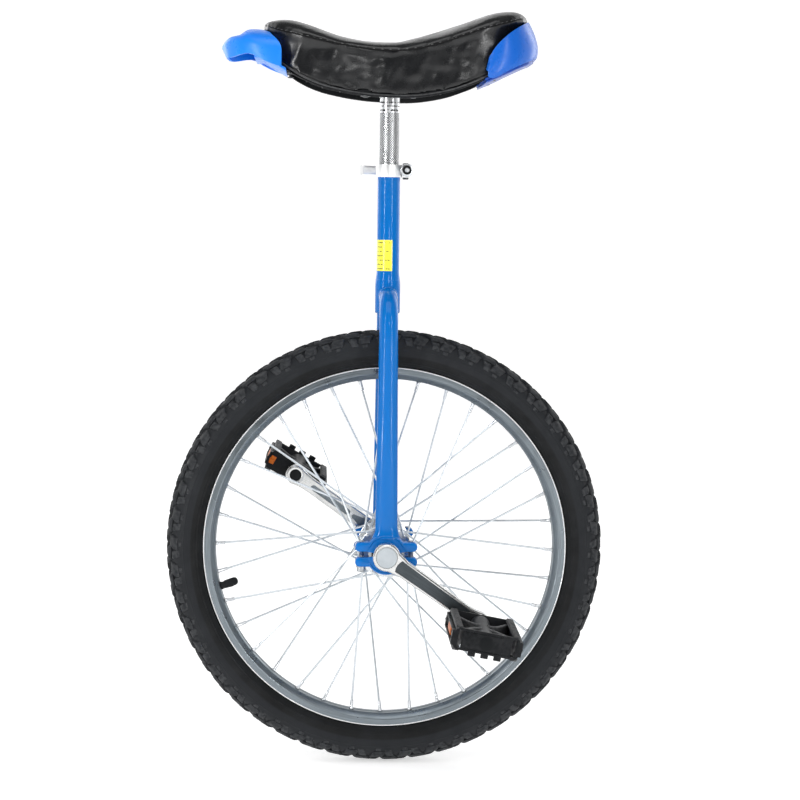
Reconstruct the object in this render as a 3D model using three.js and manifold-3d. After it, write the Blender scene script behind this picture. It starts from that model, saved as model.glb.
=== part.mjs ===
// A 20-inch unicycle: fork frame, tangent-spoked wheel with fixed cranks, platform pedals, and a saddle on a
// quick-release seat post.
// Millimetres. +X is forward, +Y is the rider's left, +Z is up. The origin is where the tyre meets the ground.
import * as THREE from "three";
import { mergeVertices } from "three/addons/utils/BufferGeometryUtils.js";
import Module from "manifold-3d";

const wasm = await Module();
wasm.setup();

// ---- Driving dimensions ----

const GAP = 0.3; // left between pieces that touch
const DEGREE = Math.PI / 180;

// Wheel
const wheelRadius = 250; // 20 x 1.95 tyre on a 406 mm rim
const tyreHalfWidth = 25;
const beadRadius = 203;
const rimHalfWidth = 13;
const rimFlangeRadius = 209.5;
const rimBedRadius = 193.8;
const rimTurn = 40; // sides of every ring of the wheel
const spokeCount = 36;
const spokeCrossing = 60 * DEGREE; // three crossings: turn from rim hole to flange hole
const valveAngle = 14.1 * DEGREE; // below the forward direction
const spokePitch = 360 / spokeCount;

// Hub and bearings
const flangeRadius = 30;
const flangeHoleRadius = 26.5;
const flangeOuterFace = 32; // distance from the wheel's middle plane
const bearingOffset = 50;
const bearingHalfWidth = 6;
const bearingRadius = 20;
const axleRadius = 8.2;
const axleHalfLength = 67.5;
const axleSquare = 11.6;

// Cranks and pedals
const crankLength = 127;
const crankSlope = 35.2 * DEGREE; // rest position: left crank back and down
const crankInnerFace = 63;
const crankOuterFace = 77;
const crankChannelDepth = 1.4;
const crankBossRadius = 15.5;
const crankEyeRadius = 11.6;
const pedalInner = 84.5;
const pedalOuter = 182;
const pedalHalfLength = 39.5;
const pedalTopHalf = 35;
const pedalHalfHeight = 12;
const leftPedalPitch = -10.8 * DEGREE;
const rightPedalPitch = -29 * DEGREE;

// Frame
const seatTubeRadius = 12.7;
const seatTubeBore = 11.4;
const seatTubeTop = 684;
const crownRadius = 14.25;
const crownBottom = 518.5;
const crownTop = 554;
const legRadius = 10;
const legBendRadius = 34;
const crossTubeHeight = 538;
const lugRadius = 22.8;
const lugHalfWidth = 7;
const lugEarReach = 34;
const lugEarThickness = 10.5;
const lugSplit = 3.3; // half the gap between lug and cap
const capBoltReach = 28;

// Seat clamp
const collarRadius = 15;
const collarBottom = 672;
const collarTop = 686;
const skewerX = -19.8;
const skewerZ = 680;
const leverPinY = -24;

// Seat post and saddle
const postRadius = 11.1;
const postBottom = 585;
const postPlateTop = 770.2;
const postPlateThickness = 4;
const studReachX = 27;
const studReachY = 16;
const saddleTail = -155;
const saddleNose = 143;
const coverThickness = 2;
const crownHeight = 13; // of the saddle's top above its side seam
const shellThickness = 3;

// ---- Solids ----

function solid(geometry) {
  const bare = geometry.index ? geometry.toNonIndexed() : geometry.clone();
  bare.deleteAttribute("normal");
  bare.deleteAttribute("uv");
  const merged = mergeVertices(bare, 1e-4);
  const vertProperties = merged.attributes.position.array;
  const triVerts = new Uint32Array(merged.index.array);
  return new wasm.Manifold(new wasm.Mesh({ numProp: 3, vertProperties, triVerts }));
}

function geometryOf(manifold) {
  const { vertProperties, triVerts } = manifold.getMesh();
  const geometry = new THREE.BufferGeometry();
  geometry.setAttribute("position", new THREE.BufferAttribute(vertProperties, 3));
  geometry.setIndex(new THREE.BufferAttribute(triVerts, 1));
  return geometry;
}

const join = (...solids) => solids.reduce((sum, next) => sum.add(next));
const cut = (body, ...tools) => tools.reduce((left, tool) => left.subtract(tool), body);

// A block between two corners.
function block([x0, y0, z0], [x1, y1, z1]) {
  const box = new THREE.BoxGeometry(x1 - x0, y1 - y0, z1 - z0);
  return solid(box.translate((x0 + x1) / 2, (y0 + y1) / 2, (z0 + z1) / 2));
}

// A rod along Y, at x and z.
function rodY(radius, y0, y1, sides, x = 0, z = 0) {
  const rod = new THREE.CylinderGeometry(radius, radius, y1 - y0, sides);
  return solid(rod.translate(x, (y0 + y1) / 2, z));
}

// A rod along Z, at x and y.
function rodZ(radius, z0, z1, sides, x = 0, y = 0) {
  const rod = new THREE.CylinderGeometry(radius, radius, z1 - z0, sides).rotateX(Math.PI / 2);
  return solid(rod.translate(x, y, (z0 + z1) / 2));
}

// A [radius, height] outline turned round the Y axis; it runs anticlockwise, radius to the right.
function turnedY(outline, sides) {
  const profile = outline.map(([radius, y]) => new THREE.Vector2(radius, y));
  return new THREE.LatheGeometry(profile, sides);
}

// An outline that closes on itself, turned round the Y axis into a ring.
const ringY = (outline, sides) => turnedY([...outline, outline[0]], sides);

const polygon = (points) => new THREE.Shape(points.map(([x, y]) => new THREE.Vector2(x, y)));

// A shape drawn in X and Z, as thick as y0 to y1.
function plateXZ(shape, y0, y1) {
  const plate = new THREE.ExtrudeGeometry(shape, { depth: y1 - y0, bevelEnabled: false, curveSegments: 6 });
  return solid(plate.rotateX(Math.PI / 2).translate(0, y1, 0));
}

// A shape drawn in X and Y, as thick as z0 to z1.
function plateXY(shape, z0, z1) {
  const plate = new THREE.ExtrudeGeometry(shape, { depth: z1 - z0, bevelEnabled: false, curveSegments: 8 });
  return solid(plate.translate(0, 0, z0));
}

// A smooth height over x through the given [x, height] points, level past the first and the last.
function curveThrough(points) {
  const slope = (i) => {
    const before = points[Math.max(i - 1, 0)];
    const after = points[Math.min(i + 1, points.length - 1)];
    return (after[1] - before[1]) / (after[0] - before[0]);
  };
  return (x) => {
    const at = THREE.MathUtils.clamp(x, points[0][0], points.at(-1)[0]);
    const i = Math.min(points.findLastIndex((point) => point[0] <= at), points.length - 2);
    const span = points[i + 1][0] - points[i][0];
    const t = (at - points[i][0]) / span;
    const lift = (1 + 2 * t) * (1 - t) ** 2 * points[i][1] + t * t * (3 - 2 * t) * points[i + 1][1];
    return lift + span * (t * (1 - t) ** 2 * slope(i) - t * t * (1 - t) * slope(i + 1));
  };
}

// ---- Finishes ----

const finish = (color, roughness, metalness) =>
  new THREE.MeshStandardMaterial({ color, roughness, metalness });

const bluePaint = finish(0x1476d2, 0.25, 0.1);
const bluePlastic = finish(0x2f86f5, 0.35, 0);
const blackPlastic = finish(0x1b1c1e, 0.5, 0);
const amberPlastic = finish(0xd86a12, 0.2, 0);
const leatherette = finish(0x17181a, 0.35, 0);
const foamRubber = finish(0xd8cfa8, 0.9, 0);
const tyreRubber = finish(0x1c1d1f, 0.8, 0);
const aluminium = finish(0xc9ccd0, 0.35, 1);
const polished = finish(0xd4d6da, 0.15, 1);
const zincSteel = finish(0xb8bcc2, 0.35, 1);
const darkSteel = finish(0x55585c, 0.4, 1);
const greyPlastic = finish(0xb9c3c9, 0.4, 0);

// Slivers left by joining and cutting, all under 0.04 mm, are smoothed away.
function add(group, name, shape, material) {
  const mesh = new THREE.Mesh(shape.isBufferGeometry ? shape : geometryOf(shape.simplify(0.04)), material);
  mesh.name = name;
  group.add(mesh);
}

// ---- Frame ----

// The tube's round top becomes an oval foot, wider along X and thinner along Y.
function forkLeg(side) {
  const bottom = hubZ() + 12;
  const top = crossTubeHeight - legBendRadius;
  const circle = new THREE.Shape().absarc(0, 0, legRadius, 0, 2 * Math.PI);
  const leg = new THREE.ExtrudeGeometry(circle, { depth: top - bottom, bevelEnabled: false, curveSegments: 6 });
  leg.translate(0, 0, bottom);
  const points = leg.attributes.position;
  for (let i = 0; i < points.count; i++) {
    const down = (top - points.getZ(i)) / (top - bottom);
    points.setXY(i, points.getX(i) * (1 + 0.27 * down), points.getY(i) * (1 - 0.3 * down));
  }
  return solid(leg.translate(0, side * bearingOffset, 0));
}

function hubZ() {
  return wheelRadius;
}

// The cross tube with a bend down at each end, as one sweep.
function crossTube() {
  const legTop = crossTubeHeight - legBendRadius;
  const reach = bearingOffset - legBendRadius;
  const arm = 0.5523 * legBendRadius; // a quarter circle's Bezier handle
  const at = (y, z) => new THREE.Vector3(0, y, z);
  const path = new THREE.CurvePath();
  path.add(new THREE.CubicBezierCurve3(
    at(bearingOffset, legTop),
    at(bearingOffset, legTop + arm),
    at(reach + arm, crossTubeHeight),
    at(reach, crossTubeHeight),
  ));
  path.add(new THREE.LineCurve3(at(reach, crossTubeHeight), at(-reach, crossTubeHeight)));
  path.add(new THREE.CubicBezierCurve3(
    at(-reach, crossTubeHeight),
    at(-reach - arm, crossTubeHeight),
    at(-bearingOffset, legTop + arm),
    at(-bearingOffset, legTop),
  ));
  const circle = new THREE.Shape().absarc(0, 0, legRadius, 0, 2 * Math.PI);
  return solid(new THREE.ExtrudeGeometry(circle, { steps: 16, extrudePath: path, curveSegments: 6 }));
}

// Half of a bearing clamp as an outline in X and Z about the hub; `up` is 1 for the lug and -1 for the cap.
function clampHalf(up) {
  const bore = bearingRadius + GAP;
  const earTop = lugSplit + lugEarThickness;
  const outerAngle = Math.asin(earTop / lugRadius);
  const boreAngle = Math.asin(lugSplit / bore);
  const shape = new THREE.Shape();
  shape.moveTo(bore * Math.cos(boreAngle), up * lugSplit);
  shape.lineTo(lugEarReach, up * lugSplit);
  shape.lineTo(lugEarReach, up * (earTop - 3));
  shape.lineTo(lugEarReach - 3, up * earTop);
  shape.lineTo(lugRadius * Math.cos(outerAngle), up * earTop);
  shape.absarc(0, 0, lugRadius, up * outerAngle, up * (Math.PI - outerAngle), up < 0);
  shape.lineTo(3 - lugEarReach, up * earTop);
  shape.lineTo(-lugEarReach, up * (earTop - 3));
  shape.lineTo(-lugEarReach, up * lugSplit);
  shape.lineTo(-bore * Math.cos(boreAngle), up * lugSplit);
  shape.absarc(0, 0, bore, up * (Math.PI - boreAngle), up * boreAngle, up > 0);
  return shape;
}

function clampSolid(side, up) {
  const middle = side * bearingOffset;
  const half = plateXZ(clampHalf(up), middle - lugHalfWidth, middle + lugHalfWidth);
  return half.translate([0, 0, hubZ()]);
}

function boltHoles(side) {
  const holes = [-1, 1].map((end) =>
    rodZ(3 + GAP, hubZ() - 20, hubZ() + 20, 8, end * capBoltReach, side * bearingOffset));
  return join(...holes);
}

function frameSolid() {
  const tube = solid(ringY([
    [seatTubeBore, crownBottom],
    [crownRadius, crownBottom],
    [crownRadius, crownTop],
    [seatTubeRadius, crownTop + 13],
    [seatTubeRadius, seatTubeTop],
    [seatTubeBore, seatTubeTop],
  ], 24).rotateX(Math.PI / 2));
  const insideLug = rodY(bearingRadius + 1.4, -70, 70, 16, 0, hubZ());
  const legs = [1, -1].map((side) => join(cut(forkLeg(side), insideLug), clampSolid(side, 1)));
  const body = join(crossTube(), ...legs, tube);
  const postBore = rodZ(seatTubeBore, crownBottom - 1, seatTubeTop + 1, 24);
  const clampSlot = block([-seatTubeRadius - 1, -1.5, seatTubeTop - 24], [-9, 1.5, seatTubeTop + 1]);
  return cut(body, postBore, clampSlot, boltHoles(1), boltHoles(-1));
}

// The bolt comes up from under the cap and ends in the lug's ear.
function capBolt(side, end) {
  const x = end * capBoltReach;
  const y = side * bearingOffset;
  const underCap = hubZ() - lugSplit - lugEarThickness - GAP;
  const shank = rodZ(3, underCap - 1, hubZ() + lugSplit + lugEarThickness + 1.5, 8, x, y);
  const head = rodZ(5, underCap - 6, underCap, 12, x, y);
  const socket = rodZ(2.6, underCap - 7, underCap - 3, 6, x, y);
  return cut(join(shank, head), socket);
}

function bearingRing(side, inner, outer) {
  const middle = side * bearingOffset;
  const outline = [
    [inner, middle - bearingHalfWidth],
    [outer, middle - bearingHalfWidth],
    [outer, middle + bearingHalfWidth],
    [inner, middle + bearingHalfWidth],
  ];
  return ringY(outline, 20);
}

function addFrame(group) {
  add(group, "frame", frameSolid(), bluePaint);
  for (const [sideName, side] of [["left", 1], ["right", -1]]) {
    add(group, `${sideName}_bearing_cap`, cut(clampSolid(side, -1), boltHoles(side)), bluePaint);
    const outerRing = bearingRing(side, 16.5, bearingRadius).translate(0, 0, hubZ());
    add(group, `${sideName}_bearing_outer_ring`, outerRing, zincSteel);
    for (const [endName, end] of [["front", 1], ["rear", -1]]) {
      add(group, `${sideName}_${endName}_cap_bolt`, capBolt(side, end), zincSteel);
    }
  }
}

// ---- Seat clamp ----

function collarSolid() {
  const ring = solid(ringY([
    [seatTubeRadius + GAP, collarBottom],
    [collarRadius, collarBottom],
    [collarRadius, collarTop],
    [seatTubeRadius + GAP, collarTop],
  ], 20).rotateX(Math.PI / 2));
  const ears = block([skewerX - 6, -9, collarBottom + 0.5], [-13.6, 9, collarTop - 0.5]);
  const slot = block([skewerX - 7, -1.5, collarBottom - 1], [-12, 1.5, collarTop + 1]);
  const skewerHole = rodY(2.5 + GAP, -10, 10, 12, skewerX, skewerZ);
  return cut(join(ring, ears), slot, skewerHole);
}

// A rod with an eye that the lever's pin goes through.
function skewerSolid() {
  const rod = rodY(2.5, leverPinY + 3.5, 17.5, 12, skewerX, skewerZ);
  const eye = rodZ(4.6, skewerZ - 2.2, skewerZ + 2.2, 16, skewerX, leverPinY);
  const pinHole = rodZ(3.5 + GAP, skewerZ - 3, skewerZ + 3, 16, skewerX, leverPinY);
  return cut(join(rod, eye), pinHole);
}

// A band of even width along a plane curve.
function ribbon(curve, halfWidth, steps) {
  const sides = [1, -1].map((side) => curve.getPoints(steps).map((point, i) => {
    const along = curve.getTangent(i / steps);
    return [point.x - side * halfWidth * along.y, point.y + side * halfWidth * along.x];
  }));
  return polygon([...sides[1], ...sides[0].reverse()]);
}

// A cam round the pin, slotted for the skewer's eye, and an arm that wraps round the collar to the front.
function leverSolid() {
  const bottom = skewerZ - 6.1;
  const top = skewerZ + 6.1;
  const path = new THREE.SplineCurve([
    new THREE.Vector2(skewerX, leverPinY - 5),
    new THREE.Vector2(-4, -26),
    new THREE.Vector2(16, -23),
    new THREE.Vector2(31, -14),
  ]);
  const arm = plateXY(ribbon(path, 2.3, 8), bottom, top);
  const cam = rodZ(9.5, bottom, top, 24, skewerX, leverPinY);
  const slot = block(
    [skewerX - 12, leverPinY - 12, skewerZ - 2.5],
    [skewerX + 4.9, leverPinY + 12, skewerZ + 2.5],
  );
  const pinHole = rodZ(3.5 + GAP, bottom - 1, top + 1, 16, skewerX, leverPinY);
  return cut(join(arm, cam), slot, pinHole);
}

function addSeatClamp(group) {
  add(group, "seat_clamp_collar", collarSolid(), aluminium);
  add(group, "seat_clamp_skewer", skewerSolid(), zincSteel);
  const hexNut = rodY(7.6, 9 + GAP, 15.5, 6, skewerX, skewerZ);
  const nutHole = rodY(2.5 + GAP, 8, 17, 12, skewerX, skewerZ);
  add(group, "seat_clamp_nut", cut(hexNut, nutHole), zincSteel);
  const pad = block([skewerX - 7, leverPinY + 10.1, skewerZ - 6], [skewerX + 6, -9 - GAP, skewerZ + 6]);
  const padHole = rodY(2.5 + GAP, -15, -8, 12, skewerX, skewerZ);
  add(group, "seat_clamp_cam_washer", cut(pad, padHole), blackPlastic);
  add(group, "seat_clamp_lever", leverSolid(), aluminium);
  const pin = rodZ(3.5, skewerZ - 10, skewerZ + 8.5, 16, skewerX, leverPinY);
  add(group, "seat_clamp_lever_pin", pin, darkSteel);
}

// ---- Wheel, built about the hub's centre ----

const mirrored = (half) => [...half, ...half.map(([r, y]) => [r, -y]).reverse()];

// Turns a piece made along +Z to the valve's place in the wheel.
const turnToValve = (part) => part.rotate([0, 90, 0]).rotate([0, valveAngle / DEGREE, 0]);

// A horseshoe section: two walls with flanges for the beads, and a bed with a well.
function rimSolid() {
  const ring = solid(ringY(mirrored([
    [rimBedRadius, 6],
    [200.5, rimHalfWidth],
    [rimFlangeRadius, rimHalfWidth],
    [rimFlangeRadius, 11.1],
    [beadRadius, 11.1],
    [202.2, 8],
    [195.4, 5],
  ]).reverse(), rimTurn));
  return cut(ring, turnToValve(rodZ(4.3, 185, 200, 12)));
}

// The tyre without its tread blocks, out to their tops.
function tyreRing() {
  return ringY(mirrored([
    [244.3, 5],
    [239, 18.3],
    [231, 21.6],
    [209, 8.9],
    [beadRadius + GAP, 8],
    [beadRadius + GAP, 10.6],
    [209.9, 10.7],
    [214, 18.8],
    [225, tyreHalfWidth],
    [234, 24.8],
    [245, 17],
    [wheelRadius, 6],
  ]).reverse(), rimTurn);
}

// A hollow tube with a valve stem, whose bore opens the hollow.
function innerTubeSolid() {
  const skin = mirrored([
    [243.5, 5],
    [232, 20.3],
    [212, 9.5],
    [205.5, 3.5],
  ]);
  const middle = 225;
  const inside = skin.map(([r, y]) => [middle + 0.93 * (r - middle), 0.93 * y]);
  const wall = cut(solid(ringY(skin, rimTurn)), solid(ringY(inside, rimTurn)));
  const stem = rodZ(3.9, 179.5, 205.5, 12);
  const bore = rodZ(1.5, 178.5, 210, 8);
  return cut(join(wall, turnToValve(stem)), turnToValve(bore));
}

function rimTapeSolid() {
  const tape = solid(ringY([[195.8, -4.6], [196.6, -4.6], [196.6, 4.6], [195.8, 4.6]], rimTurn));
  return cut(tape, turnToValve(rodZ(4.3, 190, 200, 12)));
}

function hubShell() {
  return ringY(mirrored([
    [12.5, 22],
    [15, 28],
    [flangeRadius, 29],
    [flangeRadius, flangeOuterFace],
    [14, flangeOuterFace],
    [11.5, 36],
    [11, bearingOffset - bearingHalfWidth - GAP],
    [axleRadius + GAP, bearingOffset - bearingHalfWidth - GAP],
  ]), 24);
}

// One spoke from its elbow at the hub flange to its nipple at the rim bed.
function spokeSolid(side, rimAngle, turn) {
  const around = (radius, angle, y) =>
    new THREE.Vector3(radius * Math.cos(angle), side * y, radius * Math.sin(angle));
  const start = around(flangeHoleRadius, rimAngle + turn, flangeOuterFace + 3.2);
  const end = around(rimBedRadius - 1.3, rimAngle, 2.5);
  const along = end.clone().sub(start);
  const length = along.length();
  const aim = new THREE.Quaternion().setFromUnitVectors(new THREE.Vector3(0, 1, 0), along.normalize());
  const wire = turnedY([[0, 0], [1.3, 0], [1.3, length - 12], [2.4, length - 11], [2.4, length], [0, length]], 3);
  wire.applyQuaternion(aim).translate(start.x, start.y, start.z);
  const elbow = rodY(2, flangeOuterFace + GAP, flangeOuterFace + 4.2, 3, start.x, side * start.z);
  return join(solid(wire), side > 0 ? elbow : elbow.rotate([180, 0, 0]));
}

// Holes at the rim go right, left, right, left; each side's spokes lean forward and back in turn.
function spokeSet(side) {
  const spokes = [];
  for (let hole = side > 0 ? 1 : 0; hole < spokeCount; hole += 2) {
    const rimAngle = -valveAngle + (hole + 0.5) * spokePitch * DEGREE;
    const turn = hole % 4 < 2 ? spokeCrossing : -spokeCrossing;
    spokes.push(spokeSolid(side, rimAngle, turn));
  }
  return join(...spokes).simplify(0.3);
}

function addWheelRings(group) {
  add(group, "tyre", tyreRing(), tyreRubber);
  add(group, "rim", rimSolid(), aluminium);
  add(group, "rim_tape", rimTapeSolid(), blackPlastic);
  add(group, "inner_tube", innerTubeSolid(), tyreRubber);
  add(group, "valve_cap", turnToValve(cut(rodZ(4.6, 173, 188.5, 12), rodZ(4.2, 179.2, 189.5, 12))), blackPlastic);
  add(group, "hub_shell", hubShell(), zincSteel);
  add(group, "left_spokes", spokeSet(1), zincSteel);
  add(group, "right_spokes", spokeSet(-1), zincSteel);
  add(group, "left_bearing_inner_ring", bearingRing(1, axleRadius + GAP, 12), zincSteel);
  add(group, "right_bearing_inner_ring", bearingRing(-1, axleRadius + GAP, 12), zincSteel);
}

// ---- Axle and cranks, with the left crank pointing along +X before the group is turned ----

function axleSolid() {
  const half = axleSquare / 2;
  const shaft = rodY(axleRadius, -57.5, 57.5, 24);
  const square = block([-half, -axleHalfLength, -half], [half, axleHalfLength, half]);
  const boltHole = rodY(4.2, axleHalfLength - 18, axleHalfLength + 1, 12);
  return cut(join(shaft, square), boltHole, boltHole.rotate([180, 0, 0]));
}

function crankOutline() {
  const bossAngle = 42 * DEGREE;
  const eyeAngle = 125 * DEGREE;
  const shape = new THREE.Shape();
  shape.absarc(0, 0, crankBossRadius, bossAngle, 2 * Math.PI - bossAngle);
  shape.lineTo(28, -9.4);
  shape.lineTo(106, -8.4);
  shape.absarc(crankLength, 0, crankEyeRadius, -eyeAngle, eyeAngle);
  shape.lineTo(106, 8.4);
  shape.lineTo(28, 9.4);
  return shape;
}

// The arm points along +X and its outer face looks along +Y.
function crankSolid() {
  const bevel = 2.6;
  const arm = new THREE.ExtrudeGeometry(crankOutline(), {
    depth: crankOuterFace - crankInnerFace - 2 * bevel,
    bevelThickness: bevel,
    bevelSize: bevel,
    bevelOffset: -bevel,
    bevelSegments: 1,
    curveSegments: 6,
  });
  arm.rotateX(Math.PI / 2).translate(0, crankOuterFace - bevel, 0);
  const boss = rodY(13, 59.5, crankInnerFace + 2, 16);
  const squareHalf = axleSquare / 2 + GAP;
  const squareHole = block([-squareHalf, 59, -squareHalf], [squareHalf, 69, squareHalf]);
  const capSeat = rodY(12.1, 68.5, crankOuterFace + 1, 20);
  const pedalHole = rodY(7.15, crankInnerFace - 1, crankOuterFace + 1, 16, crankLength);
  const widePocket = polygon([[20, -5.4], [46, -2], [46, 2], [20, 5.4]]);
  const longPocket = polygon([[52, -3.6], [102, -3.2], [102, 3.2], [52, 3.6]]);
  const pocketFloor = crankInnerFace + 2.2;
  const channel = polygon([[13.8, -4.8], [22, -6], [108, -5], [108, 5], [22, 6], [13.8, 4.8]]);
  return cut(
    join(solid(arm), boss),
    squareHole,
    capSeat,
    pedalHole,
    plateXZ(widePocket, crankInnerFace - 1, pocketFloor),
    plateXZ(longPocket, crankInnerFace - 1, pocketFloor),
    plateXZ(channel, crankOuterFace - crankChannelDepth, crankOuterFace + 1),
  );
}

function crankBolt() {
  const seat = 68.5 + GAP;
  return join(rodY(3.9, 52, seat + 0.5, 12), rodY(9, seat, seat + 2, 20), rodY(6.9, seat + 1.5, 74.2, 6));
}

function dustCap() {
  return turnedY([[0, 74.6], [11.7, 74.6], [11.7, 77.2], [10.4, 78], [0, 78.4]], 20);
}

// Threaded end, flange with two wrench flats, and a shaft that steps down for the lock nut.
function pedalSpindle() {
  const flange = cut(
    rodY(8.6, crankOuterFace + GAP, 82, 20, crankLength),
    block([crankLength - 10, 78.8, 7.5], [crankLength + 10, 83, 10]),
    block([crankLength - 10, 78.8, -10], [crankLength + 10, 83, -7.5]),
  );
  const thread = rodY(6.85, crankInnerFace + 1, crankOuterFace + 1, 16, crankLength);
  const shaft = rodY(5.5, 81, 164, 16, crankLength);
  const tip = rodY(4, 163, 173, 12, crankLength);
  return join(flange, thread, shaft, tip);
}

function pedalNut() {
  return cut(rodY(7.4, 166.3, 171.3, 6, crankLength), rodY(4 + GAP, 165, 172, 12, crankLength));
}

function addCrankset(group) {
  add(group, "axle", axleSolid(), darkSteel);
  for (const [sideName, flip] of [["left", 0], ["right", 180]]) {
    // The right crank is the left one turned about the axle's middle to point the other way, outer face outwards.
    const place = (part) => part.rotate([flip, 0, 0]).rotate([0, flip, 0]);
    add(group, `${sideName}_crank`, place(crankSolid()), polished);
    add(group, `${sideName}_crank_bolt`, place(crankBolt()), zincSteel);
    add(group, `${sideName}_dust_cap`, place(solid(dustCap())), greyPlastic);
    add(group, `${sideName}_pedal_spindle`, place(pedalSpindle()), zincSteel);
    add(group, `${sideName}_pedal_nut`, place(pedalNut()), zincSteel);
  }
}

// ---- Pedals, each about its own spindle with the outer end along +Y ----

function pedalBody() {
  const h = pedalHalfHeight;
  const endPlate = polygon([
    [pedalHalfLength, 0],
    [pedalTopHalf, h],
    [-pedalTopHalf, h],
    [-pedalHalfLength, 0],
    [-pedalTopHalf, -h],
    [pedalTopHalf, -h],
  ]);
  const treadBar = (end) => {
    const points = [[31.5, 0], [30, -h], [pedalTopHalf, -h], [pedalHalfLength, 0], [pedalTopHalf, h], [30, h]];
    return plateXZ(polygon(points.map(([x, z]) => [end * x, z])), pedalInner, pedalOuter);
  };
  const plates = [pedalInner, pedalOuter - 4].map((y) => plateXZ(endPlate, y, y + 4));
  const middle = (pedalInner + pedalOuter) / 2;
  const webs = [55, -55].map((turn) =>
    block([-52, -2, -7], [52, 2, 7]).rotate([0, 0, turn]).translate([0, middle, 0]));
  const tabs = [-14, 0, 14].map((x) => block([x - 4, pedalOuter - 4, -h - 4.5], [x + 4, pedalOuter, -h + 1]));
  const barrel = rodY(11, pedalInner, pedalOuter, 16);
  const reflectorSeats = [-1, 1].map((end) =>
    plateXZ(polygon(seatOutline(end, 33.5, 41, 7)), middle - 36.5, middle + 36.5));
  return cut(
    join(barrel, ...plates, treadBar(1), treadBar(-1), ...webs, ...tabs),
    rodY(7, pedalInner - 1, pedalOuter, 16),
    rodY(9.2, 165, pedalOuter + 1, 16),
    ...reflectorSeats,
  );
}

const seatOutline = (end, inner, outer, half) => [
  [end * inner, -half],
  [end * outer, -half],
  [end * outer, half],
  [end * inner, half],
];

function reflector(end) {
  const middle = (pedalInner + pedalOuter) / 2;
  return plateXZ(polygon(seatOutline(end, 33.5 + GAP, 37.4, 7 - GAP)), middle - 36.2, middle + 36.2);
}

function pedalCap() {
  return turnedY([[0, 177.5], [8.9, 177.5], [8.9, 181.4], [7.8, 182.2], [0, 182.8]], 16);
}

function addPedal(group, sideName) {
  const bush = [[5.5 + GAP, pedalInner + 2], [6.7, pedalInner + 2], [6.7, 163], [5.5 + GAP, 163]];
  add(group, `${sideName}_pedal_body`, pedalBody(), blackPlastic);
  add(group, `${sideName}_pedal_bush`, ringY(bush, 16), darkSteel);
  add(group, `${sideName}_pedal_end_cap`, pedalCap(), blackPlastic);
  add(group, `${sideName}_pedal_front_reflector`, reflector(1), amberPlastic);
  add(group, `${sideName}_pedal_rear_reflector`, reflector(-1), amberPlastic);
}

// ---- Saddle ----

const saddleTop = curveThrough([
  [-155, 846],
  [-132, 858],
  [-80, 841.5],
  [-10, 822],
  [25, 821.5],
  [80, 835],
  [118, 846],
  [143, 838],
]);
const coverEdge = curveThrough([
  [-155, 804],
  [-140, 797.5],
  [-120, 788],
  [-104, 781],
  [-88, 774.3],
  [-64, 766.2],
  [-31, 760.5],
  [2, 760],
  [34, 762.2],
  [67, 768],
  [84, 772.8],
  [101, 780],
  [118, 790],
  [130, 796.3],
  [143, 803],
]);
const halfWidth = curveThrough([
  [-155, 64],
  [-100, 73],
  [-40, 63],
  [10, 56],
  [60, 59],
  [100, 64],
  [143, 58],
]);

// How far the saddle's rounded ends have drawn in at x: 1 in the middle, 0 at nose and tail.
function endFactor(x, grow) {
  const middle = (saddleNose + saddleTail) / 2;
  const along = Math.min(Math.abs(x - middle) / ((saddleNose - saddleTail) / 2 + grow), 1);
  return (1 - along ** 5) ** 0.42;
}

// The saddle's skin moved out by `grow`: a ball with poles at nose and tail, drawn out to the saddle's curves.
// It goes on well below the cover's edge, where the caller cuts it.
function saddlePad(grow) {
  const belowEdge = 25;
  const middle = (saddleNose + saddleTail) / 2;
  const halfLength = (saddleNose - saddleTail) / 2 + grow;
  const ball = new THREE.SphereGeometry(1, 18, 14).rotateZ(-Math.PI / 2);
  const points = ball.attributes.position;
  for (let i = 0; i < points.count; i++) {
    const x = middle + halfLength * points.getX(i);
    const ring = Math.max(Math.hypot(points.getY(i), points.getZ(i)), 1e-6);
    const side = points.getY(i) / ring;
    const rise = Math.round((points.getZ(i) / ring) * 1e5) / 1e5; // exactly 0 on the widest line
    const seam = saddleTop(x) - crownHeight;
    const end = endFactor(x, grow);
    const up = (crownHeight + grow) * rise;
    const down = (seam - coverEdge(x) + belowEdge + grow) * -(Math.abs(rise) ** 0.35);
    const y = Math.sign(side) * Math.abs(side) ** 0.45 * (halfWidth(x) + grow) * end;
    points.setXYZ(i, x, y, seam + (rise > 0 ? up : down) * end ** 0.7);
  }
  return solid(ball);
}

// Everything between two heights that follow the cover's edge, as wide as the saddle and more.
function edgeLayer(low, high) {
  const stations = Array.from({ length: 13 }, (_, i) => -170 + (i * 340) / 12);
  const bottom = stations.map((x) => [x, low === null ? 700 : coverEdge(x) + low]);
  const top = stations.map((x) => [x, coverEdge(x) + high]).reverse();
  return plateXZ(polygon([...bottom, ...top]), -100, 100);
}

// The base plate's outline seen from above, moved in by `inset`.
function basePlan(inset) {
  const tail = saddleTail + 7 + inset;
  const nose = saddleNose - 11 - inset;
  const middle = (tail + nose) / 2;
  const reach = (nose - tail) / 2;
  const right = [];
  for (let step = 0; step <= 10; step++) {
    const x = middle - reach * Math.cos((Math.PI * step) / 10);
    const width = (0.975 * halfWidth(x) - inset) * (1 - (Math.abs(x - middle) / reach) ** 4) ** 0.5;
    right.push([x, -Math.max(width, 0)]);
  }
  const left = right.slice(1, -1).map(([x, y]) => [x, -y]).reverse();
  return plateXY(polygon([...right, ...left]), 700, 860);
}

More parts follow.
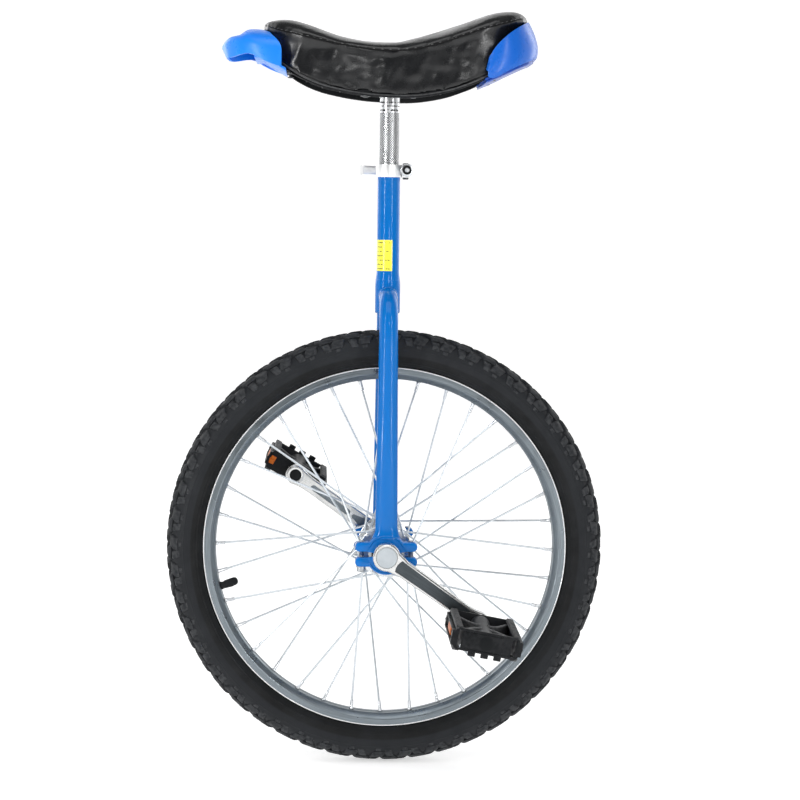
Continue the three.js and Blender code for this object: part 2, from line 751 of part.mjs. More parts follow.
const studPlaces = [
  ["front_left", studReachX, studReachY],
  ["front_right", studReachX, -studReachY],
  ["rear_left", -studReachX, studReachY],
  ["rear_right", -studReachX, -studReachY],
];
const shellScrewPlaces = [
  ["handle_screw_left", 112, 34],
  ["handle_screw_right", 112, -34],
  ["bumper_screw_left", -112, 38],
  ["bumper_screw_right", -112, -38],
];
const tongueDrop = GAP + shellThickness; // underside of the handle's tongue below the cover's edge
const flangeDrop = 5.8; // underside of the bumper's flange below the cover's edge
const baseFloor = 14; // top of the base above the cover's edge
const baseFloorThickness = 3.5;
const lipDrop = 2; // of the base's lip below the cover's edge
const lipNose = 106; // the lip runs from lipTail to here, and the two shells' plates go on in its place
const lipTail = -101;

// An inverted tray: a floor under the foam, a skirt inside the cover, and a lip that the cover's edge meets.
function saddleBase() {
  const skirt = saddlePad(-coverThickness - GAP).intersect(edgeLayer(-lipDrop, baseFloor)).intersect(basePlan(2));
  const lip = basePlan(0).intersect(edgeLayer(-lipDrop, -GAP));
  const hollow = basePlan(6).intersect(edgeLayer(-lipDrop - 1, baseFloor - baseFloorThickness));
  const columns = shellScrewPlaces.map(([, x, y]) => rodZ(6, 740, 830, 12, x, y));
  const bosses = join(...columns).intersect(edgeLayer(0, baseFloor - 1));
  const holes = [
    ...studPlaces.map(([, x, y]) => rodZ(3 + GAP, 740, 790, 12, x, y)),
    ...shellScrewPlaces.map(([, x, y]) => rodZ(2 + GAP, coverEdge(x) - 12, coverEdge(x) + 8, 8, x, y)),
  ];
  return cut(join(cut(join(skirt, lip), hollow, pastTheLip(0)), bosses), ...holes);
}

// What the base leaves, less a gap, to the shells' plates under the saddle's nose and tail.
function pastTheLip(gap) {
  const nose = block([lipNose + gap, -90, 700], [170, 90, 860]);
  const tail = block([-170, -90, 700], [lipTail - gap, 90, 860]);
  return join(nose, tail).intersect(edgeLayer(null, -gap));
}

function saddleFoam() {
  return cut(saddlePad(-coverThickness - GAP), edgeLayer(null, baseFloor + GAP));
}

function saddleCover() {
  return cut(saddlePad(0), saddlePad(-coverThickness), edgeLayer(null, 0));
}

// The saddle's own space, which the handle and the bumper keep clear of.
function saddleEnvelope() {
  const cover = cut(saddlePad(GAP), edgeLayer(null, -GAP));
  const lip = basePlan(-GAP).intersect(edgeLayer(-lipDrop - GAP, 8));
  return join(cover, cut(lip, pastTheLip(GAP)));
}

// A plan outline with a blunt end: full width at `start`, closing at `end`.
function bluntPlan(start, end, width, inset) {
  const side = [];
  for (let step = 0; step <= 7; step++) {
    const turn = (Math.PI / 2) * (step / 7);
    const along = Math.sin(turn) ** 0.9;
    const reach = end - start - Math.sign(end - start) * inset;
    side.push([start + reach * along, (width - inset) * Math.cos(turn) ** 0.9]);
  }
  const other = side.slice(0, -1).map(([x, y]) => [x, -y]).reverse();
  return plateXY(polygon([...side, ...other]), 700, 860);
}

// A hooded grip over the saddle's nose, open below for the fingers, with a tongue under the base.
function frontHandle() {
  const hood = polygon([
    [120.5, 787],
    [120.5, 808],
    [123, 816.5],
    [128, 822],
    [136, 828.5],
    [145, 833],
    [156, 834.5],
    [166, 831],
    [177, 825],
    [185, 815.5],
    [185, 809],
    [181, 799],
    [175.7, 797.3],
    [165.7, 801.3],
    [157.9, 803.6],
    [152.3, 803],
    [142.4, 797.8],
    [132.3, 793],
  ]);
  const hollow = polygon([
    [100, 770],
    [126, 806],
    [132, 817],
    [140, 826],
    [156, 831],
    [165.5, 827.8],
    [175, 822],
    [181.7, 814.5],
    [180, 770],
  ]);
  const outer = plateXZ(hood, -75, 75).intersect(bluntPlan(108, 186, 59.5, 0)).intersect(crown(0));
  const inner = plateXZ(hollow, -75, 75).intersect(bluntPlan(100, 186, 59.5, shellThickness)).intersect(crown(3));
  const tongueBlock = block([lipNose + 1, -90, 740], [151, 90, 840]);
  const plate = edgeLayer(-tongueDrop, -GAP).intersect(tongueBlock).intersect(bluntPlan(100, 186, 59.5, 1));
  return shellWithScrewHoles(join(cut(outer, inner), plate), [112], tongueDrop);
}

// Everything under the hood's crown, moved in by `inset`: a round back along X.
function crown(inset) {
  const radius = 125;
  const round = new THREE.CylinderGeometry(radius - inset, radius - inset, 140, 64).rotateZ(Math.PI / 2);
  return solid(round.translate(140, 0, 834.5 - radius));
}

// A cap round the saddle's tail with a flange under the base.
function rearBumper() {
  const cap = polygon([
    [-105, 784],
    [-105.3, 794],
    [-106.5, 799],
    [-109.5, 806.5],
    [-113.5, 813.5],
    [-120.5, 821.8],
    [-130, 829.3],
    [-140, 835.5],
    [-150, 841.5],
    [-153.5, 844.5],
    [-157, 832.5],
    [-161.5, 823],
    [-164.5, 813],
    [-164.5, 808.5],
    [-155, 802],
    [-139, 794.5],
    [-121, 785.5],
    [-108, 779.8],
  ]);
  const plan = bluntPlan(-92, -164.5, 74, 0);
  const solidCap = plateXZ(cap, -80, 80).intersect(plan);
  const flangeBlock = block([-160, -90, 740], [lipTail - 1, 90, 840]);
  const plate = edgeLayer(-flangeDrop, -GAP).intersect(flangeBlock).intersect(plan);
  return shellWithScrewHoles(join(solidCap, plate), [-112], flangeDrop);
}

// Each screw's head sits in a flat recess in the underside of the shell's plate.
function shellWithScrewHoles(shell, stations, drop) {
  const places = shellScrewPlaces.filter(([, x]) => stations.includes(x));
  const holes = places.map(([, x, y]) => join(
    rodZ(2 + GAP, coverEdge(x) - 14, coverEdge(x) + 3, 8, x, y),
    rodZ(3.8 + GAP, coverEdge(x) - 14, screwSeat(x, drop), 12, x, y),
  ));
  return cut(shell, saddleEnvelope(), ...holes);
}

const screwSeat = (x, drop) => coverEdge(x) - drop + 1;

// A screw from below through the shell's plate into the base's boss.
function shellScrew(x, y) {
  const seat = screwSeat(x, x > 0 ? tongueDrop : flangeDrop) - GAP;
  return join(rodZ(2, seat - 1, coverEdge(x) + 7, 8, x, y), rodZ(3.8, seat - 2.4, seat, 12, x, y));
}

function seatPost() {
  const plateBottom = postPlateTop - postPlateThickness;
  const tube = solid(ringY([
    [9, postBottom],
    [postRadius, postBottom],
    [postRadius, plateBottom + 1],
    [9, plateBottom + 1],
  ], 24).rotateX(Math.PI / 2));
  const plate = block([-36, -24, plateBottom], [36, 24, postPlateTop]);
  const corners = studPlaces.map(([, x, y]) => rodZ(3 + GAP, plateBottom - 1, postPlateTop + 1, 12, x, y));
  return cut(join(tube, plate), ...corners);
}

// A stud set in the base, with its nut under the post's plate.
function saddleStud(x, y) {
  const nutTop = postPlateTop - postPlateThickness - GAP;
  const floor = coverEdge(x) + baseFloor - 1;
  return join(rodZ(3, nutTop - 8, floor, 8, x, y), rodZ(5.8, nutTop - 5, nutTop, 6, x, y));
}

function addSeat(group) {
  add(group, "seat_post", seatPost(), zincSteel);
  add(group, "saddle_base", saddleBase(), blackPlastic);
  add(group, "saddle_foam", saddleFoam(), foamRubber);
  add(group, "saddle_cover", saddleCover(), leatherette);
  add(group, "front_handle", frontHandle(), bluePlastic);
  add(group, "rear_bumper", rearBumper(), bluePlastic);
  studPlaces.forEach(([name, x, y]) => add(group, `saddle_stud_${name}`, saddleStud(x, y), zincSteel));
  shellScrewPlaces.forEach(([name, x, y]) => add(group, name, shellScrew(x, y), darkSteel));
}

// ---- Assembly ----

const unicycle = new THREE.Group();
addFrame(unicycle);
addSeatClamp(unicycle);

const wheel = new THREE.Group();
wheel.position.z = hubZ();
addWheelRings(wheel);
unicycle.add(wheel);

const crankset = new THREE.Group();
crankset.rotation.y = Math.PI - crankSlope;
addCrankset(crankset);
wheel.add(crankset);

// Each pedal hangs on its crank's end at its own pitch; the right one is turned over, outer end outwards.
for (const [sideName, side, pitch] of [["left", 1, leftPedalPitch], ["right", -1, rightPedalPitch]]) {
  const pedal = new THREE.Group();
  pedal.position.x = -side * crankLength * Math.cos(crankSlope);
  pedal.position.z = -side * crankLength * Math.sin(crankSlope);
  pedal.rotation.y = pitch;
  const turned = new THREE.Group();
  turned.rotation.x = side > 0 ? 0 : Math.PI;
  addPedal(turned, sideName);
  pedal.add(turned);
  wheel.add(pedal);
}

addSeat(unicycle);

export default unicycle;
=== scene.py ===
"""A 20-inch unicycle: blue fork frame, spoked wheel with fixed cranks, platform pedals, padded saddle.

Shapes are built in millimetres in the model's own frame (+X forward, +Y the rider's left, +Z up, origin where the
tyre meets the ground) and become metres when a piece is made.
"""
from math import atan2, cos, degrees, exp, pi, radians, sin, sqrt

import bmesh
import bpy
from mathutils import Matrix, Vector, noise


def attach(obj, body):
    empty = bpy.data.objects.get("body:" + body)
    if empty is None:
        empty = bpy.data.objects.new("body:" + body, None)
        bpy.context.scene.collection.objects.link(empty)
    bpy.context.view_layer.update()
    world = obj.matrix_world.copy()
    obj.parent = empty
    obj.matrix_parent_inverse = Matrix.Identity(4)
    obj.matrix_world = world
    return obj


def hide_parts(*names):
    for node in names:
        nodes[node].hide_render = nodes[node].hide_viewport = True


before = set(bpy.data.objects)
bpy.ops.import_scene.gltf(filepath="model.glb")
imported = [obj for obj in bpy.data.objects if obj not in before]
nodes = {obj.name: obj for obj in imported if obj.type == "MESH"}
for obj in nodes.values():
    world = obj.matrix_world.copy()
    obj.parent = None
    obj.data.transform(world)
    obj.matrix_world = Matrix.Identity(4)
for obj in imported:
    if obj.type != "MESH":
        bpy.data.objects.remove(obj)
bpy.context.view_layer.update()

MM = 0.001

# ---- Driving dimensions, in millimetres ----

HUB_Z = 250
TYRE_MIDDLE = 225  # radius of the tyre section's middle
TREAD_BLOCKS = 48
RIM_HALF_WIDTH = 13
RIM_FLANGE = 207.8
RIM_BED = 193.8
SPOKES = 36
SPOKE_CROSSING = radians(60)
VALVE_ANGLE = radians(14.1)
VALVE_LEAN = radians(5)
FLANGE_HOLES = 26.5
FLANGE_FACE = 32
CRANK_SLOPE = radians(35.2)
CRANK_LENGTH = 127
CRANK_INNER = 63
CRANK_OUTER = 77
POCKET_FLOOR = 65.4
CHANNEL_FLOOR = 75.5
PEDAL_INNER = 84.5
PEDAL_OUTER = 182
LEG_OFFSET = 50
LEG_BEND = 34
CROSS_TUBE_Z = 538
TUBE_RADIUS = 12.7
TUBE_TOP = 684
SKEWER_X = -19.8
SKEWER_Z = 680
LEVER_PIN_Y = -24
POST_RADIUS = 11.1
KNURL_LOW = 650
KNURL_HIGH = 744
KNURL_COUNT = 25
KNURL_PITCH = 2.8
PEDAL_MIDDLE = (PEDAL_INNER + PEDAL_OUTER) / 2
PEDAL_HALF_HEIGHT = 12
SADDLE_TAIL = -155
SADDLE_NOSE = 143
SADDLE_MIDDLE = (SADDLE_NOSE + SADDLE_TAIL) / 2
SADDLE_REACH = (SADDLE_NOSE - SADDLE_TAIL) / 2
HANDLE_TIP = 186
BUMPER_FRONT = -105
BUMPER_TAIL = -163.5
BUMPER_HALF_WIDTH = 72.5
SHELL_THICKNESS = 2.6
FLOOR_DROP = 0.5  # keeps the floor just clear of the tyre's lowest point

# The way along Y, and along X, that each name points.
SIDES = (("left", 1), ("right", -1))
ENDS = (("front", 1), ("rear", -1))


def turns(count):
    """Angles that divide a circle evenly."""
    return [2 * pi * k / count for k in range(count)]


def signed(value, power):
    """A power of a number's size, with the number's own sign."""
    return (abs(value) ** power) * (1 if value > 0 else -1)


# ---- Camera, floor and light ----

def make_camera():
    camera = bpy.data.objects.new("camera", bpy.data.cameras.new("camera"))
    camera.data.lens = 87.29
    camera.data.sensor_width = 36
    right = Vector((-0.99910869, 0.04040271, 0.01222463))
    up = Vector((0.00827026, -0.09663021, 0.99528599))
    back = right.cross(up)
    camera.matrix_world = Matrix.LocRotScale(
        Vector((0.07617, 2.20505, 0.63252)), Matrix((right, up, back)).transposed(), None)
    bpy.context.collection.objects.link(camera)
    bpy.context.scene.camera = camera


def make_light(name, place, target, size, power):
    light = bpy.data.lights.new(name, "AREA")
    light.shape = "RECTANGLE"
    light.size, light.size_y = size
    light.energy = power
    lamp = bpy.data.objects.new(name, light)
    lamp.location = place
    lamp.rotation_euler = (Vector(target) - Vector(place)).to_track_quat("-Z", "Y").to_euler()
    bpy.context.collection.objects.link(lamp)


def make_floor():
    """A pale floor that sweeps up into a backdrop behind the object."""
    form = bmesh.new()
    rings = []
    angles = turns(96)
    for radius, height in [(1.5, 0), (4, 0), (5, 0.12), (5.8, 0.6), (6.2, 1.6), (6.4, 4), (6.4, 8)]:
        rises = [height * min(1, max(0, 0.35 - 1.4 * sin(t))) for t in angles]
        rings.append([form.verts.new((radius * cos(t), radius * sin(t), z - FLOOR_DROP * MM))
                      for t, z in zip(angles, rises)])
    form.faces.new(rings[0])
    for inner, outer in zip(rings, rings[1:]):
        for i in range(len(angles)):
            j = (i + 1) % len(angles)
            form.faces.new((inner[i], outer[i], outer[j], inner[j]))
    mesh = bpy.data.meshes.new("studio_floor")
    form.to_mesh(mesh)
    form.free()
    floor = bpy.data.objects.new("studio_floor", mesh)
    for face in mesh.polygons:
        face.use_smooth = True
    finish = bpy.data.materials.new("studio_floor")
    finish.use_nodes = True
    shader = finish.node_tree.nodes["Principled BSDF"]
    shader.inputs["Base Color"].default_value = (0.86, 0.86, 0.86, 1)
    shader.inputs["Roughness"].default_value = 1
    shader.inputs["Specular IOR Level"].default_value = 0
    shader.inputs["Emission Color"].default_value = (1, 1, 1, 1)
    shader.inputs["Emission Strength"].default_value = 0.5
    mesh.materials.append(finish)
    bpy.context.collection.objects.link(floor)


def make_studio():
    world = bpy.data.worlds.new("studio")
    world.use_nodes = True
    background = world.node_tree.nodes["Background"].inputs
    background["Color"].default_value = (1, 1, 1, 1)
    background["Strength"].default_value = 0.2
    bpy.context.scene.world = world
    bpy.context.scene.view_settings.view_transform = "Standard"
    make_light("strip_front", (1.8, 1.75, 0.8), (0, 0, 0.5), (0.14, 2.4), 31)
    make_light("strip_rear", (-1.45, 2.05, 0.8), (0, 0, 0.5), (0.1, 2.4), 20)
    make_light("saddle_card", (-0.35, 2.75, 1.12), (-0.06, 0, 0.8), (0.45, 0.35), 4)
    make_light("top", (0.1, 1.2, 2.9), (0, 0.1, 0.3), (2.6, 1.8), 27)
    make_light("back_left", (1.6, -2.0, 1.3), (0, 0, 0.5), (0.8, 1.6), 9)
    make_light("back_right", (-1.8, -1.6, 1.3), (0, 0, 0.5), (0.8, 1.6), 9)


make_camera()
make_floor()
make_studio()


# ---- Materials ----

class Surface:
    """A material's node tree, built on its Principled shader."""

    def __init__(self, name, color, roughness, metallic=0.0, **constants):
        self.material = bpy.data.materials.new(name)
        self.material.use_nodes = True
        self.tree = self.material.node_tree
        self.shader = self.tree.nodes["Principled BSDF"]
        self.color = color
        self.roughness = roughness
        self.shader.inputs["Base Color"].default_value = (*color, 1)
        self.shader.inputs["Roughness"].default_value = roughness
        self.shader.inputs["Metallic"].default_value = metallic
        for socket, value in constants.items():
            self.shader.inputs[socket.replace("_", " ")].default_value = value

    def node(self, kind, **inputs):
        """A new node, with each input set to a constant or linked to another node's output."""
        node = self.tree.nodes.new("ShaderNode" + kind)
        for name, value in inputs.items():
            self.give(node.inputs[name.replace("_", " ")], value)
        return node

    def give(self, socket, value):
        if isinstance(value, (int, float, tuple)):
            socket.default_value = value
        else:
            self.tree.links.new(value, socket)

    def place(self):
        """The surface's own coordinates, which don't move with the object's pose."""
        return self.node("TexCoord").outputs["Object"]

    def math(self, operation, first, second=0.0):
        node = self.node("Math")
        node.operation = operation
        self.give(node.inputs[0], first)
        self.give(node.inputs[1], second)
        return node.outputs[0]

    def stretched(self, scale, place=None):
        return self.node("Mapping", Scale=scale, Vector=place or self.place()).outputs[0]

    def axes(self):
        return self.node("SeparateXYZ", Vector=self.place()).outputs

    def from_hub(self):
        """Distance from the wheel's axle."""
        x, _, z = self.axes()
        level = self.math("SUBTRACT", z, HUB_Z * MM)
        return self.math("SQRT", self.math("ADD", self.math("MULTIPLY", x, x), self.math("MULTIPLY", level, level)))

    def around_hub(self, along, across):
        """Coordinates that run slowly round the wheel's axle and fast across it, for marks left by turning."""
        x, y, z = self.axes()
        angle = self.math("ARCTAN2", self.math("SUBTRACT", z, HUB_Z * MM), x)
        return self.node("CombineXYZ", X=self.math("MULTIPLY", angle, along),
                         Y=self.math("MULTIPLY", self.from_hub(), across),
                         Z=self.math("MULTIPLY", y, across)).outputs[0]

    def noise(self, scale, detail=3.0, place=None):
        return self.node("TexNoise", Scale=scale, Detail=detail, Vector=place or self.place()).outputs[0]

    def cells(self, scale):
        return self.node("TexVoronoi", Scale=scale, Vector=self.place()).outputs["Distance"]

    def graded(self, value, low, high, low_to, high_to):
        """The value stretched so that low becomes low_to and high becomes high_to, and held there past them."""
        return self.node("MapRange", Value=value, From_Min=low, From_Max=high, To_Min=low_to,
                         To_Max=high_to).outputs[0]

    def near(self, value, middle, half):
        """1 where a coordinate is within half of middle, both in millimetres, and 0 elsewhere."""
        return self.math("LESS_THAN", self.math("ABSOLUTE", self.math("SUBTRACT", value, middle * MM)), half * MM)

    def blend_color(self, share, other):
        """Mixes another colour in where share is high, over what the base colour already is."""
        node = self.node("Mix")
        node.data_type = "RGBA"
        factor, first, second, mixed = node.inputs[0], node.inputs[6], node.inputs[7], node.outputs[2]
        base = self.shader.inputs["Base Color"]
        self.give(first, base.links[0].from_socket if base.is_linked else (*self.color, 1))
        self.give(second, (*other, 1))
        self.give(factor, share)
        self.give(base, mixed)

    def vary_roughness(self, value, spread):
        self.give(self.shader.inputs["Roughness"],
                  self.graded(value, 0.3, 0.7, self.roughness - spread, self.roughness + spread))

    def bump(self, value, distance_mm, strength=1.0):
        node = self.node("Bump", Strength=strength, Distance=distance_mm * MM, Height=value)
        normal = self.shader.inputs["Normal"]
        if normal.is_linked:
            self.give(node.inputs["Normal"], normal.links[0].from_socket)
        self.give(normal, node.outputs[0])

    def worn_edges(self, color, amount=1.0):
        """Rubbed edges, where the surface bends outwards."""
        edge = self.graded(self.node("NewGeometry").outputs["Pointiness"], 0.53, 0.62, 0, amount)
        self.blend_color(self.math("MULTIPLY", edge, self.graded(self.noise(260), 0.35, 0.6, 0, 1)), color)


def moulded(name, color, roughness, patches, spread, grain, wear=None, **constants):
    """A painted or moulded surface, with patches of another colour, uneven gloss, a fine grain and rubbed edges."""
    s = Surface(name, color, roughness, **constants)
    if patches:
        scale, low, high, amount, other = patches
        s.blend_color(s.graded(s.noise(scale), low, high, 0, amount), other)
    if spread:
        s.vary_roughness(s.noise(spread[0]), spread[1])
    scale, detail, depth_mm, strength = grain
    s.bump(s.noise(scale, detail), depth_mm, strength)
    if wear:
        s.worn_edges(*wear)
    return s.material


def blue_plastic(name, color, wear=0.35):
    paler = tuple(channel * 1.2 for channel in color)
    return moulded(name, color, 0.3, (14, 0.35, 0.7, 0.4, paler), (90, 0.06), (900, 2, 0.03, 0.25),
                   ((0.2, 0.45, 0.95), wear), Specular_IOR_Level=0.4, Subsurface_Weight=0.08,
                   Subsurface_Scale=0.003)


def amber_plastic():
    s = Surface("amber_plastic", (0.42, 0.075, 0.008), 0.35, Specular_IOR_Level=0.12)
    facets = s.cells(420)
    s.blend_color(s.graded(facets, 0.1, 0.6, 0, 0.7), (0.6, 0.16, 0.02))
    s.bump(facets, 0.4, 0.6)
    return s.material


def leatherette():
    s = Surface("leatherette", (0.0045, 0.005, 0.006), 0.26, Specular_IOR_Level=0.45, Coat_Weight=0.15,
                Coat_Roughness=0.16)
    grain = s.cells(640)
    s.blend_color(s.graded(grain, 0.05, 0.5, 0.5, 0), (0.011, 0.012, 0.013))
    s.vary_roughness(s.noise(45), 0.09)
    s.bump(s.noise(34, 4), 0.8, 0.3)
    s.bump(grain, 0.12, 0.45)
    return s.material


def tyre_rubber():
    """Black near the rim, a little greyer and duller from the middle of the sidewall outwards."""
    s = Surface("tyre_rubber", (0.005, 0.0055, 0.006), 0.6, Specular_IOR_Level=0.22)
    outer_wall = s.graded(s.from_hub(), 220.4 * MM, 222.4 * MM, 0, 1)
    s.blend_color(outer_wall, (0.012, 0.0135, 0.016))
    s.blend_color(s.graded(s.noise(22, 5), 0.42, 0.78, 0, 0.5), (0.016, 0.018, 0.021))
    s.blend_color(s.graded(s.noise(8, 4, s.around_hub(1.5, 900)), 0.55, 0.8, 0, 0.4), (0.024, 0.026, 0.03))
    s.vary_roughness(s.noise(70, 4), 0.12)
    s.bump(s.noise(500, 4), 0.18, 0.35)
    s.worn_edges((0.07, 0.073, 0.077), 0.6)
    return s.material


def bare_metal(name, color, roughness, dull, marks, depth_mm):
    """A bare metal: dull is the colour of its duller patches, and marks its surface pattern's coordinates."""
    s = Surface(name, color, roughness, 1.0)
    lines = s.noise(1, 4, marks(s))
    s.blend_color(s.graded(lines, 0.3, 0.75, 0, 0.8), dull)
    s.vary_roughness(s.noise(55, 4), 0.08)
    s.bump(lines, depth_mm, 0.4)
    return s


def turned_marks(s):
    return s.around_hub(6, 2600)


def fine_mottle(s):
    return s.stretched((900, 900, 900))


def long_marks(s):
    return s.stretched((90, 90, 2600))


def arm_marks(s):
    """Lines along the cranks, which both lie on one slanting line through the hub at rest."""
    level = s.node("Mapping", Rotation=(0, CRANK_SLOPE, 0), Vector=s.place())
    return s.stretched((60, 2400, 2400), level.outputs[0])


def post_steel():
    """Bright steel with painted shade in its knurled grooves, and rows of marks printed round its plain top."""
    s = bare_metal("post_steel", (0.86, 0.87, 0.88), 0.3, (0.66, 0.68, 0.7), long_marks, 0.01)
    x, y, z = s.axes()
    turn = s.math("MULTIPLY", s.math("ARCTAN2", y, x), KNURL_COUNT / (2 * pi))
    rise = s.math("MULTIPLY", s.math("SUBTRACT", z, KNURL_LOW * MM), 1 / (KNURL_PITCH * MM))
    for operation in ("ADD", "SUBTRACT"):
        across = s.math("FRACT", s.math("ADD", s.math(operation, turn, rise), 100.5))
        groove = s.math("ABSOLUTE", s.math("SUBTRACT", across, 0.5))
        knurled = s.math("LESS_THAN", z, KNURL_HIGH * MM)
        # Painted shade: the knurl's grooves are darkened where shade falls in them.
        s.blend_color(s.math("MULTIPLY", s.graded(groove, 0.08, 0.26, 0.9, 0), knurled), (0.1, 0.105, 0.11))
    dashes = s.math("GREATER_THAN", s.noise(1, 1, s.stretched((420, 420, 260))), 0.46)
    for middle, half in ((746.6, 1.1), (751.2, 0.6), (755.4, 0.9)):
        s.blend_color(s.math("MULTIPLY", s.near(z, middle, half), dashes), (0.05, 0.05, 0.055))
    return s.material


def sticker_print():
    """Yellow film printed with generic bars: a close column at the front and a sparse one beside a thin rule."""
    s = Surface("sticker_print", (0.95, 0.93, 0.06), 0.3, Coat_Weight=0.5, Coat_Roughness=0.05)
    x, _, z = s.axes()
    broken = s.math("GREATER_THAN", s.noise(1, 1, s.stretched((520, 1, 190))), 0.44)
    for pitch, share, middle, half in ((4.9, 0.22, 9.3, 2.9), (9.8, 0.1, 1.2, 2.4)):
        bar = s.math("LESS_THAN", s.math("FRACT", s.math("MULTIPLY", z, 1 / (pitch * MM))), share)
        print_area = s.math("MULTIPLY", s.near(x, middle, half), broken)
        s.blend_color(s.math("MULTIPLY", bar, print_area), (0.1, 0.085, 0.02))
    s.blend_color(s.math("MULTIPLY", s.near(x, -1.9, 0.25), 0.6), (0.3, 0.27, 0.03))
    s.bump(s.noise(300), 0.02, 0.3)
    return s.material


MATERIALS = {
    "blue_paint": moulded(
        "blue_paint", (0.001, 0.145, 0.5), 0.2, (9, 0.35, 0.7, 0.5, (0.002, 0.165, 0.55)), (60, 0.05),
        (420, 2, 0.02, 0.35), ((0.25, 0.42, 0.72), 0.35), Coat_Weight=0.42, Coat_Roughness=0.03,
        Specular_IOR_Level=0.05),
    "blue_plastic": blue_plastic("blue_plastic", (0.008, 0.22, 0.88)),
    # A paler copy of the blue plastic for thin edges and lips: painted highlight.
    "blue_painted_highlight": blue_plastic("blue_painted_highlight", (0.14, 0.34, 0.88)),
    "blue_tail": blue_plastic("blue_tail", (0.005, 0.12, 0.55)),
    # A darker copy of the blue plastic for the flange under the saddle's tail: painted shade.
    "blue_painted_shade": blue_plastic("blue_painted_shade", (0.001, 0.055, 0.36), 0.08),
    "black_plastic": moulded(
        "black_plastic", (0.007, 0.008, 0.009), 0.4, (30, 0.4, 0.75, 0.6, (0.013, 0.014, 0.016)), (120, 0.1),
        (1500, 3, 0.05, 0.4), ((0.07, 0.07, 0.075), 0.3), Specular_IOR_Level=0.12),
    "tread_plastic": moulded(
        "tread_plastic", (0.022, 0.023, 0.025), 0.5, (80, 0.35, 0.7, 0.8, (0.05, 0.052, 0.055)), None,
        (1600, 3, 0.06, 0.5), ((0.2, 0.2, 0.2), 0.6), Specular_IOR_Level=0.3),
    "grey_plastic": moulded(
        "grey_plastic", (0.44, 0.48, 0.51), 0.38, (70, 0.4, 0.7, 0.6, (0.55, 0.59, 0.62)), (150, 0.08),
        (1200, 2, 0.03, 0.3)),
    "seam_black": moulded(
        "seam_black", (0.0025, 0.0025, 0.003), 0.55, None, None, (800, 2, 0.1, 0.4), Specular_IOR_Level=0.2),
    "amber_plastic": amber_plastic(),
    "leatherette": leatherette(),
    "tyre_rubber": tyre_rubber(),
    "post_steel": post_steel(),
    "sticker_print": sticker_print(),
}
for metal, *finish in (
        ("brushed_aluminium", (0.26, 0.295, 0.32), 0.33, (0.1, 0.12, 0.135), turned_marks, 0.05),
        ("bright_aluminium", (0.97, 0.97, 0.97), 0.42, (0.88, 0.89, 0.9), fine_mottle, 0.01),
        ("polished_alloy", (0.8, 0.8, 0.79), 0.24, (0.52, 0.53, 0.53), arm_marks, 0.02),
        # Very dark metal for the cranks' channel floors: partly unpolished cast alloy, partly painted shade.
        ("cast_alloy_and_painted_shade", (0.1, 0.115, 0.125), 0.36, (0.05, 0.058, 0.064), arm_marks, 0.04),
        ("zinc_steel", (0.76, 0.78, 0.8), 0.3, (0.5, 0.53, 0.56), fine_mottle, 0.02),
        ("spoke_steel", (0.72, 0.76, 0.79), 0.38, (0.56, 0.6, 0.64), fine_mottle, 0.01),
        ("bearing_steel", (0.5, 0.52, 0.54), 0.3, (0.32, 0.34, 0.36), turned_marks, 0.02),
        ("dark_steel", (0.12, 0.125, 0.13), 0.34, (0.05, 0.055, 0.06), fine_mottle, 0.03)):
    MATERIALS[metal] = bare_metal(metal, *finish).material


# ---- Making pieces ----

